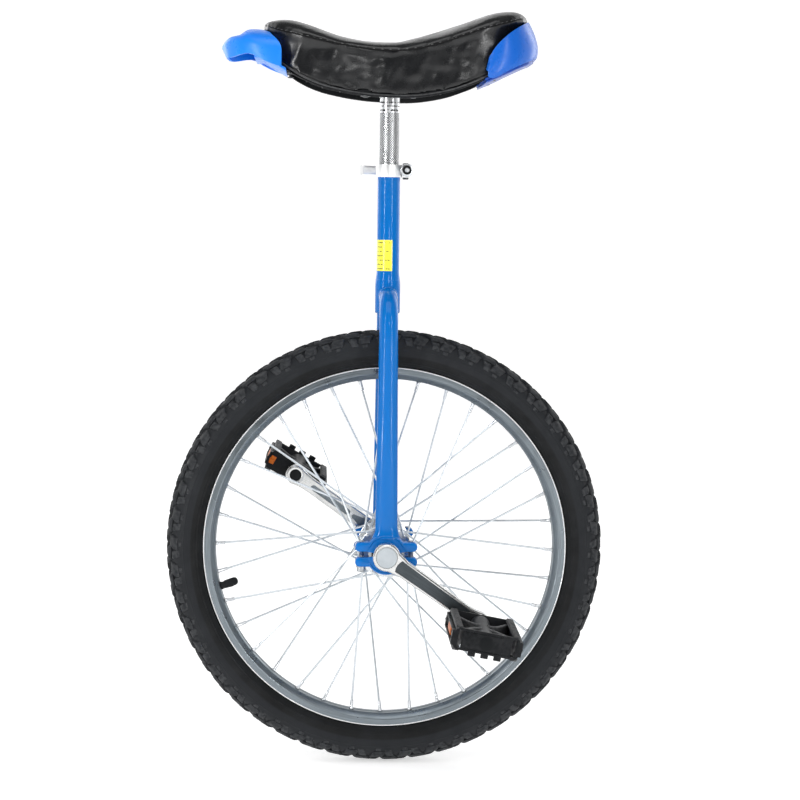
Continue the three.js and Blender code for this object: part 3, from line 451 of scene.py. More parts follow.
class Build:
    """A mesh being built in millimetres: each form is a closed surface, put where `at` says."""

    def __init__(self, at=Matrix()):
        self.bm = bmesh.new()
        self.at = at

    def join(self, form, bevel=0.0, segments=2):
        bmesh.ops.recalc_face_normals(form, faces=form.faces)
        if bevel:
            edges = [e for e in form.edges if e.is_manifold and e.calc_face_angle() > radians(28)]
            bmesh.ops.bevel(form, geom=edges, offset=bevel, segments=segments, profile=0.5, affect="EDGES",
                            clamp_overlap=True)
        bmesh.ops.transform(form, matrix=self.at, verts=form.verts)
        mesh = bpy.data.meshes.new("form")
        form.to_mesh(mesh)
        form.free()
        self.bm.from_mesh(mesh)
        bpy.data.meshes.remove(mesh)

    def loft(self, rings, closed=False, bevel=0.0, segments=2):
        """Skins rings of equal count; the ends are capped unless the last ring meets the first."""
        form = bmesh.new()
        rows = [[form.verts.new(point) for point in ring] for ring in rings]
        count = len(rows[0])
        for near, far in zip(rows, rows[1:] + rows[:1] if closed else rows[1:]):
            for i in range(count):
                j = (i + 1) % count
                form.faces.new((near[i], near[j], far[j], far[i]))
        if not closed:
            form.faces.new(rows[0])
            form.faces.new(rows[-1])
        self.join(form, bevel, segments)

    def turned_y(self, outline, sides=96, closed=False, centre=(0, 0)):
        """A [radius, y] outline turned round a line along Y through centre = (x, z)."""
        self.loft([[(centre[0] + r * cos(a), y, centre[1] + r * sin(a)) for a in turns(sides)] for r, y in outline],
                  closed)

    def turned_z(self, outline, sides=64, closed=False, centre=(0, 0)):
        """A [radius, z] outline turned round a line along Z through centre = (x, y)."""
        self.loft([[(centre[0] + r * cos(a), centre[1] + r * sin(a), z) for a in turns(sides)] for r, z in outline],
                  closed)

    def plate(self, outline, low, high, axis="Y", bevel=0.4, segments=2):
        """An outline in X and Z given thickness along Y, or one in X and Y given thickness along Z."""
        self.loft([[(a, level, b) if axis == "Y" else (a, b, level) for a, b in outline] for level in (low, high)],
                  bevel=bevel, segments=segments)

    def block(self, low, high, bevel=0.4):
        self.plate([(low[0], low[2]), (high[0], low[2]), (high[0], high[2]), (low[0], high[2])], low[1], high[1],
                   bevel=bevel)

    def swept(self, path, radius, sides=16):
        """A tube along a path: radius is one number, or one for each point, or a pair for each, across and along."""
        points = [Vector(p) for p in path]
        side = None
        rings = []
        for i, point in enumerate(points):
            along = (points[min(i + 1, len(points) - 1)] - points[max(i - 1, 0)]).normalized()
            if side is None:
                side = along.orthogonal().normalized() if abs(along.x) > 0.9 else Vector((1, 0, 0))
            side = (side - along * side.dot(along)).normalized()
            other = along.cross(side)
            here = radius if isinstance(radius, (int, float)) else radius[i]
            a, b = here if isinstance(here, tuple) else (here, here)
            rings.append([point + side * a * cos(t) + other * b * sin(t) for t in turns(sides)])
        self.loft(rings)

    def finish(self, name, body, material, replaced=(), slot=None, sharp=32):
        mesh = bpy.data.meshes.new(name)
        bmesh.ops.scale(self.bm, vec=(MM, MM, MM), verts=self.bm.verts)
        for face in self.bm.faces:
            face.smooth = True
        for edge in self.bm.edges:
            edge.smooth = not (edge.is_manifold and edge.calc_face_angle() > radians(sharp))
        self.bm.to_mesh(mesh)
        self.bm.free()
        mesh.materials.append(MATERIALS[material])
        piece = bpy.data.objects.new(name, mesh)
        bpy.context.collection.objects.link(piece)
        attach(piece, body)
        if replaced:
            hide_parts(*replaced)
        return piece


def arc(centre, radius, start, end, steps):
    """Points of an arc in a plane, from one angle in degrees to another."""
    angles = [radians(start + (end - start) * i / steps) for i in range(steps + 1)]
    return [(centre[0] + radius * cos(a), centre[1] + radius * sin(a)) for a in angles]


def mirrored(half):
    return [*half, *((r, -y) for r, y in reversed(half))]


def smooth_line(points, per_span=6):
    """Points along a smooth curve through the given ones."""
    out = []
    for i in range(len(points) - 1):
        p0, p1, p2, p3 = (Vector(points[max(0, min(k, len(points) - 1))]) for k in (i - 1, i, i + 1, i + 2))
        for step in range(per_span):
            t = step / per_span
            out.append(0.5 * (2 * p1 + (p2 - p0) * t + (2 * p0 - 5 * p1 + 4 * p2 - p3) * t * t
                              + (3 * p1 - p0 - 3 * p2 + p3) * t ** 3))
    out.append(Vector(points[-1]))
    return [tuple(p) for p in out]


def curve_through(points):
    """A smooth height over x through [x, height] points, level past the ends."""
    def slope(i):
        before, after = points[max(i - 1, 0)], points[min(i + 1, len(points) - 1)]
        return (after[1] - before[1]) / (after[0] - before[0])

    def height(x):
        at = min(max(x, points[0][0]), points[-1][0])
        i = min(max(k for k, p in enumerate(points) if p[0] <= at), len(points) - 2)
        span = points[i + 1][0] - points[i][0]
        t = (at - points[i][0]) / span
        lift = (1 + 2 * t) * (1 - t) ** 2 * points[i][1] + t * t * (3 - 2 * t) * points[i + 1][1]
        return lift + span * (t * (1 - t) ** 2 * slope(i) - t * t * (1 - t) * slope(i + 1))
    return height


# ---- Frame ----

def fork_legs(build):
    """The cross tube bent down into two legs, which end wider along X and thinner along Y."""
    reach = LEG_OFFSET - LEG_BEND
    top = CROSS_TUBE_Z - LEG_BEND
    bottom = HUB_Z + 18
    path = [(0, LEG_OFFSET, bottom + rise) for rise in (0, 2, 4, 6, 8, 11)]
    path += [(0, LEG_OFFSET, bottom + 14 + (top - bottom - 14) * i / 22) for i in range(22)]
    path += [(0, y, z) for y, z in arc((reach, top), LEG_BEND, 0, 90, 14)]
    path += [(0, -y, z) for _, y, z in reversed(path)]
    widths = []
    for _, _, z in path:
        down = max(0.0, (top - z) / (top - bottom))
        flare = 3.6 * max(0.0, 1 - (z - bottom) / 13) ** 2
        widths.append((10.5 + 2.2 * down + flare, 10 - 3 * down + 0.35 * flare))
    build.swept(path, widths, 32)


def weld(build, centre, normal_axis, radius, bead):
    """A fillet of weld round a joint, with its ripples."""
    upright = normal_axis == "Z"
    lift = Vector((0, 0, 1)) if upright else Vector((0, 1, 0))
    rings = []
    for a in turns(90):
        fat = bead * (1 + 0.12 * sin(26 * a))
        out = Vector((cos(a), sin(a), 0)) if upright else Vector((cos(a), 0, sin(a)))
        middle = Vector(centre) + out * radius
        rings.append([middle + out * fat * cos(t) + lift * fat * sin(t) for t in turns(8)])
    build.loft(rings, closed=True)


def bearing_lug(build, side, up):
    """Half a bearing clamp with an ear at each end, wrapped round the bearing, and a thin lip on each face."""
    bore, outer, split, ear, reach, half_width = 20.3, 22.8, 3.3, 13.8, 35, 7
    bore_turn = degrees(atan2(split, bore))
    outer_turn = degrees(atan2(ear, sqrt(outer ** 2 - ear ** 2)))
    tip_z, tip_radius = (ear + split) / 2, (ear - split) / 2
    outline = [*arc((reach - tip_radius, tip_z), tip_radius, -90, 90, 12), (20.5, ear)]
    outline += arc((0, 0), outer, outer_turn, 180 - outer_turn, 22)
    outline += [(-20.5, ear), *arc((tip_radius - reach, tip_z), tip_radius, 90, 270, 12)]
    outline += arc((0, 0), bore, 180 - bore_turn, bore_turn, 26)
    middle = side * LEG_OFFSET
    build.plate([(x, HUB_Z + up * z) for x, z in outline], middle - half_width, middle + half_width, bevel=1.1,
                segments=3)
    arch = [(x, middle, HUB_Z + up * z) for x, z in arc((0, 0), outer - 1.5, 26, 154, 30)]
    build.swept(arch, [(2.4, 7.9)] * len(arch), 20)
    for end in (-1, 1):
        low, high = sorted((middle + end * 6.15, middle + end * 6.9))
        section = ((13.5, low), (13.5, high), (bore + 0.8, high), (bore + 0.8, low))
        build.loft([[(r * x, y, HUB_Z + up * r * z) for r, y in section] for x, z in arc((0, 0), 1, 8, 172, 40)],
                   bevel=0.2)


def make_frame():
    build = Build()
    build.turned_z([(11.4, 518.5), (13.4, 518.5), (14.25, 519.6), (14.25, 551.5), (13.9, 555), (12.9, 563),
                    (TUBE_RADIUS, 568), (TUBE_RADIUS, 683.2), (12.2, TUBE_TOP), (11.4, TUBE_TOP)], closed=True)
    fork_legs(build)
    for side in (1, -1):
        bearing_lug(build, side, 1)
        weld(build, (0, side * 13.6, CROSS_TUBE_Z), "Y", 9.6, 1.5)
    weld(build, (0, 0, 556), "Z", 12.7, 1.2)
    build.finish("fork_frame", "frame", "blue_paint", ["frame"])
    for name, side in SIDES:
        cap = Build()
        bearing_lug(cap, side, -1)
        cap.finish(f"{name}_lower_cap", "frame", "blue_paint", [f"{name}_bearing_cap"])


def make_sticker():
    """A film wrapped part of the way round the seat tube, on the rider's left."""
    build = Build()
    radius = TUBE_RADIUS + 0.12
    angles = [radians(110 - 108 * i / 24) for i in range(25)]
    columns = [[(radius * cos(t), radius * sin(t), z) for t in angles] for z in (566.5, 601.5)]
    inner = [[(0.997 * x, 0.997 * y, z) for x, y, z in column] for column in columns]
    build.loft([columns[0] + inner[0][::-1], columns[1] + inner[1][::-1]])
    build.finish("tube_sticker", "frame", "sticker_print", slot="blue_paint")


def hex_outline(across, centre=(0, 0)):
    return arc(centre, across / sqrt(3), 0, 300, 5)


def make_cap_bolts():
    """Socket-head screws through the caps' ears, with washers and the exposed thread in the gap."""
    for name, side in SIDES:
        for end_name, end in ENDS:
            centre = (end * 28, side * LEG_OFFSET)
            build = Build()
            build.turned_z([(2.6, 233.2), (2.6, 230.2), (4.3, 229.9), (5, 230.6), (5, 235.5), (6.2, 235.6),
                            (6.2, 236.1), (3, 236.2), (3, 246)], 32, centre=centre)
            build.turned_z([(3 - 0.22 * (i % 2), 244 + i * 0.36) for i in range(60)], 24, centre=centre)
            build.finish(f"{name}_{end_name}_screw", "frame", "bearing_steel",
                         [f"{name}_{end_name}_cap_bolt"], slot="zinc_steel")


def make_bearings():
    for name, side in SIDES:
        y = side * LEG_OFFSET
        outer = Build()
        outer.turned_y([(16.5, y - 5.7), (16.8, y - 6), (19.6, y - 6), (20, y - 5.6), (20, y + 5.6), (19.6, y + 6),
                        (16.8, y + 6), (16.5, y + 5.7)], 72, True, (0, HUB_Z))
        outer.finish(f"{name}_outer_race", "frame", "bearing_steel", [f"{name}_bearing_outer_ring"])
        seal = Build()
        for end in (-1, 1):
            seal.turned_y([(12.3, y + end * 5.2), (13.2, y + end * 5.5), (15.4, y + end * 5.3), (16.3, y + end * 5.6),
                           (16.3, y + end * 4.4), (12.3, y + end * 4.4)], 72, True, (0, HUB_Z))
        seal.finish(f"{name}_bearing_seals", "frame", "black_plastic")


make_frame()
make_sticker()
make_cap_bolts()
make_bearings()


# ---- Seat clamp ----

def ribbon(path, section, thick, tall, waist, level=0):
    """Rings of an upright strip along a path in X and Y, waist less tall at its middle than at its ends."""
    rings = []
    for i, (x, y) in enumerate(path):
        ahead, behind = path[min(i + 1, len(path) - 1)], path[max(i - 1, 0)]
        along = Vector((ahead[0] - behind[0], ahead[1] - behind[1])).normalized()
        height = tall - waist * sin(pi * i / (len(path) - 1))
        rings.append([(x - along.y * a * thick, y + along.x * a * thick, level + b * height) for a, b in section])
    return rings


def make_seat_clamp():
    collar = Build()
    outline = arc((0, 0), 15, 172, -172, 64)
    outline += [(-14.5, -2.1), (-14.5, -7), (-25.8, -7), (-25.8, -1.5), (-12.95, -1.5)]
    outline += arc((0, 0), 13, -173.4, 173.4, 56)
    outline += [(-12.95, 1.5), (-25.8, 1.5), (-25.8, 7), (-14.5, 7), (-14.8, 2.1)]
    collar.plate(outline, 672, 686, "Z", 0.7, 3)
    collar.finish("clamp_collar", "frame", "bright_aluminium", ["seat_clamp_collar"])

    skewer = Build()
    skewer.turned_y([(2.2, 17.5), (2.5, 17.2), (2.5, -20), (2.5, -20.4)], 24, centre=(SKEWER_X, SKEWER_Z))
    skewer.turned_z([(3.8, 677.8), (4.6, 678.4), (4.6, 681.6), (3.8, 682.2)], 24, True, (SKEWER_X, LEVER_PIN_Y))
    skewer.finish("clamp_skewer", "frame", "zinc_steel", ["seat_clamp_skewer"])

    nut = Build()
    nut.plate(hex_outline(13.2, (SKEWER_X, SKEWER_Z)), 9.3, 14.6, bevel=0.6)
    nut.turned_y([(6.9, 7.4), (7.4, 7.8), (7.4, 8.8), (6.9, 9.2)], 32, centre=(SKEWER_X, SKEWER_Z))
    nut.finish("clamp_nut", "frame", "zinc_steel", ["seat_clamp_nut"])
    ring = Build()
    ring.turned_y([(2.7, 14.4), (2.7, 15.6), (3.4, 16.1), (4.8, 16.1), (5.2, 15.4), (5.2, 14.4)], 32, True,
                  (SKEWER_X, SKEWER_Z))
    ring.finish("clamp_nut_insert", "frame", "black_plastic")

    pad = Build()
    pad.block((SKEWER_X - 7, LEVER_PIN_Y + 10.1, SKEWER_Z - 6), (SKEWER_X + 6, -9.3, SKEWER_Z + 6), 0.9)
    pad.finish("clamp_cam_pad", "frame", "black_plastic", ["seat_clamp_cam_washer"])

    lever = Build()
    path = smooth_line([(-12, -26.5), (-4, -26.2), (16, -23), (27, -17), (31, -13.5)], 8)
    lever.loft(ribbon(path, [(signed(cos(t), 0.6), signed(sin(t), 0.6)) for t in turns(20)], 2.3, 6.1, 1.2, SKEWER_Z))
    for low, high in ((673.9, 677.3), (682.7, 686.1)):
        lever.turned_z([(8.9, low), (9.5, low + 0.6), (9.5, high - 0.6), (8.9, high)], 48,
                       centre=(SKEWER_X, LEVER_PIN_Y))
    lever.plate([(SKEWER_X + 5, -32), (-9, -31), (-9, -24), (SKEWER_X + 5, -17)], 674, 686, "Z", 0.8)
    lever.finish("clamp_lever", "lever", "bright_aluminium", ["seat_clamp_lever"])
    pin = Build()
    pin.turned_z([(2.7, 670), (3.5, 670.8), (3.5, 687.6), (2.7, 688.5)], 32, centre=(SKEWER_X, LEVER_PIN_Y))
    pin.finish("clamp_lever_pin", "lever", "dark_steel", ["seat_clamp_lever_pin"])


make_seat_clamp()


# ---- Wheel ----

HUB = Matrix.Translation((0, 0, HUB_Z))


def bump_line(r, at, half, height):
    """The height of a raised line of a given half-width, at a radius."""
    return height * max(0.0, 1 - abs(r - at) / half)


def make_tyre():
    """Casing with raised rings on its sidewall, and a tread of separate blocks round it."""
    half = [(243.6, 3), (240, 15.5), (231, 20.6), (209, 8.9), (203.3, 8), (203.3, 10.6), (208.2, 10.7)]
    wall = smooth_line([(208.8, 13.1), (212.6, 17.8), (219, 22.4), (226, 24), (232, 22.9), (238, 19.2), (242.4, 13.6),
                        (245.4, 7.2), (246, 0.6)], 7)
    lines = ((214.2, 0.5, 0.5), (217.2, 0.4, 0.35), (221.8, 0.6, 0.4), (229.6, 0.6, 0.5))
    wall = [(r, y + sum(bump_line(r, *line) for line in lines)) for r, y in wall]
    build = Build(HUB)
    build.turned_y(mirrored(half + wall)[::-1], 192, True)
    build.finish("tyre_casing", "wheel", "tyre_rubber", ["tyre"])

    blocks = ((0, 0.5, 36, 62, 25, -0.12), (0.06, 0.22, 64, 74, 24.7, 0), (0.58, 0.3, 42, 68, 24.9, 0.08),
              (0.34, 0.6, 14, 37, 25, 0.22), (0.1, 0.3, 0.5, 12.5, 24.9, 0.3))
    tread = Build(HUB)
    pitch = 2 * pi / TREAD_BLOCKS
    for i in range(TREAD_BLOCKS):
        for side in (1, -1):
            start = (i + (0.5 if side < 0 else 0)) * pitch
            for offset, length, low, high, top, skew in blocks:
                tread_block(tread, start + offset * pitch, length * pitch, side, low, high, top, skew * pitch)
    tread.finish("tyre_tread", "wheel", "tyre_rubber", sharp=24)


def tread_block(build, start, length, side, low, high, top, skew):
    """A block on the tyre's section between two angles off the crown, narrowing from its foot to its top."""
    def at(turn, tilt, height):
        r = TYRE_MIDDLE + height * cos(radians(tilt))
        return (r * cos(turn), side * height * sin(radians(tilt)), r * sin(turn))

    foot, draft = 19.8, 0.05 * length
    rings = []
    for k in range(4):
        tilt, lead = low + (high - low) * k / 3, start + skew * k / 3
        crown = top - (0.9 if k in (0, 3) else 0)
        rings.append([at(turn, tilt, height) for turn, height in (
            (lead, foot), (lead + length, foot), (lead + length - draft, crown - 0.7),
            (lead + length - 2.4 * draft, crown), (lead + 2.4 * draft, crown), (lead + draft, crown - 0.7))])
    build.loft(rings)


def make_rim():
    half = [(RIM_BED, 5.6), (RIM_BED + 0.1, 7), (RIM_BED + 0.9, 8.6), (199.4, 12.3), (200.2, 12.9),
            (200.8, RIM_HALF_WIDTH), (201.4, 12.84), (206.2, 12.84), (RIM_FLANGE, 12.6), (RIM_FLANGE, 11.5),
            (207.2, 11.1), (203, 11.1), (202.2, 8), (195.4, 5)]
    bed = [(RIM_BED, 5.6), (RIM_BED, 0.8), (RIM_BED - 0.4, 0.3)]
    build = Build(HUB)
    build.turned_y(mirrored(bed[::-1] + half)[::-1], 216, True)
    build.finish("rim_hoop", "wheel", "brushed_aluminium", ["rim"])
    # Bright rings along both flange lips, over the darker rim: painted highlight.
    edges = Build(HUB)
    for side in (1, -1):
        edges.turned_y([(RIM_FLANGE - 0.7 + 0.75 * cos(t), side * (12.75 + 0.65 * sin(t))) for t in turns(10)], 216,
                       True)
    edges.finish("rim_edges", "wheel", "bright_aluminium", slot="brushed_aluminium")


def around(radius, angle, y):
    return Vector((radius * cos(angle), y, radius * sin(angle)))


def make_spokes():
    """Even holes belong to the right flange and odd ones to the left; heads alternate in and out."""
    for name, side in SIDES:
        wires, nipples, eyelets = Build(HUB), Build(HUB), Build(HUB)
        for hole in range(1 if side > 0 else 0, SPOKES, 2):
            rim_angle = -VALVE_ANGLE + (hole + 0.5) * 2 * pi / SPOKES
            outside = hole % 4 < 2
            flange = rim_angle + (SPOKE_CROSSING if outside else -SPOKE_CROSSING)
            y = side * (FLANGE_FACE + 1.2 if outside else FLANGE_FACE - 4.2)
            head = side * (FLANGE_FACE - 4.6 if outside else FLANGE_FACE + 1.6)
            start = around(FLANGE_HOLES, flange, y)
            end = around(RIM_BED + 0.5, rim_angle, side * 2.5)
            along = (end - start).normalized()
            hole_at = around(FLANGE_HOLES, flange, 0)
            bend = [hole_at + Vector((0, head + (y - head) * t, 0)) for t in (0, 0.3, 0.6, 0.82)]
            bend += [start + along * 0.9 + Vector((0, -0.25 * (y - head) / abs(y - head), 0)), start + along * 2.4,
                     start + along * 60, end - along * 4]
            wires.swept(bend, 1.2, 10)
            spoke_head(wires, hole_at, head, side if outside else -side)
            reach = (end - start).length
            nipples.swept([start + along * (reach - t) for t in (12.2, 12, 11.8, 3.2, 2.6, 0.6)],
                          (1.25, 1.7, 1.85, 1.95, 2.3, 2.3), 12)
            eyelets.swept([around(RIM_BED + t, rim_angle, side * 2.5) for t in (-0.45, -0.4, 0.4)], (2.6, 3.1, 3.1),
                          16)
        wires.finish(f"{name}_spoke_wires", "wheel", "spoke_steel", [f"{name}_spokes"])
        nipples.finish(f"{name}_nipples", "wheel", "zinc_steel", slot="spoke_steel")
        eyelets.finish(f"{name}_eyelets", "wheel", "dark_steel", slot="brushed_aluminium")


def spoke_head(build, place, y, side):
    """The flat round head of a spoke against the flange's other face."""
    build.swept([place + Vector((0, y - side * t, 0)) for t in (-0.6, -0.2, 0.5, 0.9)],
                (1.2, 2.1, 2.2, 1.3), 14)


def make_hub():
    half = [(12.5, 17), (12.8, 20), (13.9, 25), (15.8, 27.8), (18.5, 28.8), (29.2, 29), (30, 29.5),
            (30, 31.5), (29.2, FLANGE_FACE), (17, FLANGE_FACE), (15.6, 32.4), (13, 34.4), (12, 37), (11.6, 43.2),
            (11, 43.7), (8.5, 43.7)]
    build = Build(HUB)
    build.turned_y(mirrored(half)[::-1], 96, True)
    build.finish("hub_body", "wheel", "zinc_steel", ["hub_shell"])
    # Dark rings round each spoke on both flange faces: painted shade inside the flange holes.
    holes = Build(HUB)
    for i in range(SPOKES // 2):
        for side in (1, -1):
            angle = -VALVE_ANGLE + (2 * i + (1.5 if side > 0 else 0.5)) * 2 * pi / SPOKES + SPOKE_CROSSING
            middle = around(FLANGE_HOLES, angle, 0)
            holes.swept([middle + Vector((0, side * y, 0)) for y in (28.7, 28.8, 32.2, 32.3)],
                        (1.3, 1.5, 1.5, 1.3), 14)
    holes.finish("flange_holes", "wheel", "dark_steel", slot="zinc_steel")


def make_valve():
    """Rubber stem and its ribbed cap, pointing at the hub."""
    foot = Matrix.Translation((197, 0, 0))
    turn = HUB @ Matrix.Rotation(VALVE_ANGLE, 4, "Y") @ foot @ Matrix.Rotation(VALVE_LEAN, 4, "Y") @ foot.inverted()
    stem = Build(turn)
    stem.loft([[(x, r * cos(t), r * sin(t)) for t in turns(24)] for r, x in (
        (3, 180), (3.9, 181), (3.9, 191), (4.6, 192.2), (4.6, 193.2), (3.9, 193.6), (3.9, 204))])
    stem.finish("valve_stem", "wheel", "tyre_rubber", slot="tube_rubber")
    cap = Build(turn)
    rings = []
    for r, x in ((1.6, 173.2), (3.1, 173.8), (4.2, 175.2), (4.6, 177), (4.6, 187.4), (4.2, 188.4)):
        ribs = 0.14 if 176 < x < 188 else 0
        rings.append([(x, (r + ribs * sin(18 * t)) * cos(t), (r + ribs * sin(18 * t)) * sin(t)) for t in turns(108)])
    cap.loft(rings)
    cap.finish("valve_dust_cap", "wheel", "black_plastic", ["valve_cap"])


make_tyre()
make_rim()
make_spokes()
make_hub()
make_valve()


# ---- Cranks and pedals ----

def crank_place(side):
    """From the left crank lying along +X, outer face towards +Y, to where each crank is."""
    flip = Matrix() if side > 0 else Matrix.Rotation(pi, 4, "Y") @ Matrix.Rotation(pi, 4, "X")
    return HUB @ Matrix.Rotation(pi - CRANK_SLOPE, 4, "Y") @ flip


def crank_outline(inset):
    """The arm seen from outside: a round boss, straight sides that draw in, and a round eye."""
    boss, eye = 15.5 - inset, 11.6 - inset
    near, far = 9.6 - inset, 8.6 - inset
    near_turn = degrees(atan2(near, sqrt(boss ** 2 - near ** 2)))
    far_turn = 180 - degrees(atan2(far, sqrt(eye ** 2 - far ** 2)))
    outline = arc((0, 0), boss, near_turn + 14, 360 - near_turn - 14, 44)
    outline += [(17.5, -near - 1.2), (22, -near - 0.2), (28, -near), (64, -(near + far) / 2), (104, -far)]
    outline += [(112, -far - 0.3), *arc((CRANK_LENGTH, 0), eye, -far_turn + 16, far_turn - 16, 34), (112, far + 0.3)]
    outline += [(104, far), (64, (near + far) / 2), (28, near), (22, near + 0.2), (17.5, near + 1.2)]
    return outline


def make_crank(name, side):
    build = Build(crank_place(side))
    layers = [(CRANK_INNER, 1.6), (CRANK_INNER + 0.8, 0.4), (CRANK_INNER + 1.6, 0), (CRANK_OUTER - 2, 0),
              (CRANK_OUTER - 1.4, 0.3), (CRANK_OUTER - 0.4, 1.1), (CRANK_OUTER, 1.7)]
    build.loft([[(x, y, z) for x, z in crank_outline(inset)] for y, inset in layers])
    build.turned_y([(12.2, 59.5), (13, 60.2), (13, 64)], 64)
    piece = build.finish(f"{name}_crank_arm", "wheel", "polished_alloy", [f"{name}_crank"])
    carve(piece, crank_cutters(), crank_place(side))
    darken_floors(piece, crank_place(side), (POCKET_FLOOR, CHANNEL_FLOOR))


def darken_floors(piece, place, depths):
    """Gives the floors of the pocket and of the channel, at these distances along the axle, darker metals: partly
    their duller unpolished surface, partly painted shade in the recesses.
    """
    for finish in ("brushed_aluminium", "cast_alloy_and_painted_shade"):
        piece.data.materials.append(MATERIALS[finish])
    back = place.inverted()
    for face in piece.data.polygons:
        y = (back @ (face.center / MM)).y
        for number, depth in enumerate(depths):
            if abs(y - depth) < 0.1:
                face.material_index = 1 + number


def crank_cutters():
    """Bolt recess, pedal eye, the channel down the outer face, and the two pockets in the inner face."""
    cutters = Build()
    cutters.turned_y([(12.1, 71), (12.1, 78)], 64)
    cutters.turned_y([(7, 58), (7, 80)], 48, centre=(CRANK_LENGTH, 0))
    cutters.plate([(14.4, 0), (15, -4), (16.4, -7.4), (24, -7.1), (40, -6.8), (106, -5.8),
                   *arc((108, 0), 5.7, -70, 70, 8), (106, 5.8), (40, 6.8), (24, 7.1), (16.4, 7.4), (15, 4)],
                  CHANNEL_FLOOR, 80, bevel=0)
    cutters.plate([(19.5, -6.6), (30, -5.6), (44, -2.2), (45.5, 0), (44, 2.2), (30, 5.6), (19.5, 6.6), (18.4, 0)],
                  58, POCKET_FLOOR, bevel=0)
    cutters.plate([(52, -3.6), (101, -3.3), *arc((101, 0), 3.3, -60, 60, 6), (101, 3.3), (52, 3.6),
                   *arc((52, 0), 3.6, 120, 240, 6)], 58, POCKET_FLOOR, bevel=0)
    return cutters


def carve(piece, cutters, place):
    """Cuts the cutters out of a finished piece and applies the cut."""
    bmesh.ops.transform(cutters.bm, matrix=Matrix.Scale(MM, 4) @ place, verts=cutters.bm.verts)
    mesh = bpy.data.meshes.new("cutters")
    cutters.bm.to_mesh(mesh)
    cutters.bm.free()
    tool = bpy.data.objects.new("cutters", mesh)
    bpy.context.collection.objects.link(tool)
    modifier = piece.modifiers.new("pockets", "BOOLEAN")
    modifier.object = tool
    modifier.operation = "DIFFERENCE"
    modifier.solver = "EXACT"
    bake(piece)
    bpy.data.objects.remove(tool)


def bake(piece):
    """Applies a piece's modifiers to its mesh."""
    graph = bpy.context.evaluated_depsgraph_get()
    result = bpy.data.meshes.new_from_object(piece.evaluated_get(graph))
    piece.modifiers.clear()
    piece.data = result


def smooth(piece):
    for face in piece.data.polygons:
        face.use_smooth = True


def make_crank_fittings(name, side):
    place = crank_place(side)
    seat = Build(place)
    seat.turned_y([(9.4, 70), (9.4, 70.8), (9, 71.3), (7, 71.3), (7, 70)], 48, True)
    seat.plate(hex_outline(13.6), 70.2, 74.2, bevel=0.5)
    seat.finish(f"{name}_crank_screw", "wheel", "zinc_steel", [f"{name}_crank_bolt"])
    ring = Build(place)
    ring.turned_y([(11.75, 74.6), (12.05, 74.6), (12.05, 76.6), (11.75, 76.6)], 64, True)
    ring.finish(f"{name}_cap_shadow", "wheel", "black_plastic")
    cap = Build(place)
    cap.turned_y([(11.2, 74.6), (11.7, 75), (11.7, 77), (11.3, 77.7), (10.4, 78), (9.6, 77.9), (9.2, 77.7), (6, 78.1),
                  (0.6, 78.3)], 64)
    cap.finish(f"{name}_cap_disc", "wheel", "grey_plastic", [f"{name}_dust_cap"])
    spindle = Build(place)
    spindle.turned_y([(6.3, 63.6), (6.8, 64), (6.8, 77), (8.4, 77.3), (8.6, 77.6), (8.6, 81.7), (8.2, 82),
                      (5.5, 82.6), (5.5, 164), (4, 164.4), (4, 172.6), (3.5, 173)], 40, centre=(CRANK_LENGTH, 0))
    spindle.plate(hex_outline(15, (CRANK_LENGTH, 0)), 78.4, 81.4, bevel=0.5)
    spindle.finish(f"{name}_spindle", "wheel", "zinc_steel", [f"{name}_pedal_spindle"])
    eye = Build(place)
    eye.turned_y([(7.1, 62.9), (7.1, 62.4), (7.6, 62.2), (9.2, 62.2), (9.7, 62.6), (9.7, 63.2)], 48, True,
                 (CRANK_LENGTH, 0))
    eye.finish(f"{name}_eye_ring", "wheel", "polished_alloy")
    dark = Build(place)
    dark.turned_y([(6.6, 63.2), (6.9, 63.3), (6.9, 63.8), (6.6, 63.8)], 40, False, (CRANK_LENGTH, 0))
    dark.finish(f"{name}_spindle_end", "wheel", "black_plastic")


def pedal_place(side):
    """From a pedal about its own spindle, outer end towards +Y, to where each pedal is."""
    across = side * CRANK_LENGTH * cos(CRANK_SLOPE)
    drop = side * CRANK_LENGTH * sin(CRANK_SLOPE)
    pitch = radians(-10.8 if side > 0 else -29)
    turned = Matrix() if side > 0 else Matrix.Rotation(pi, 4, "X")
    return Matrix.Translation((-across, 0, HUB_Z - drop)) @ Matrix.Rotation(pitch, 4, "Y") @ turned


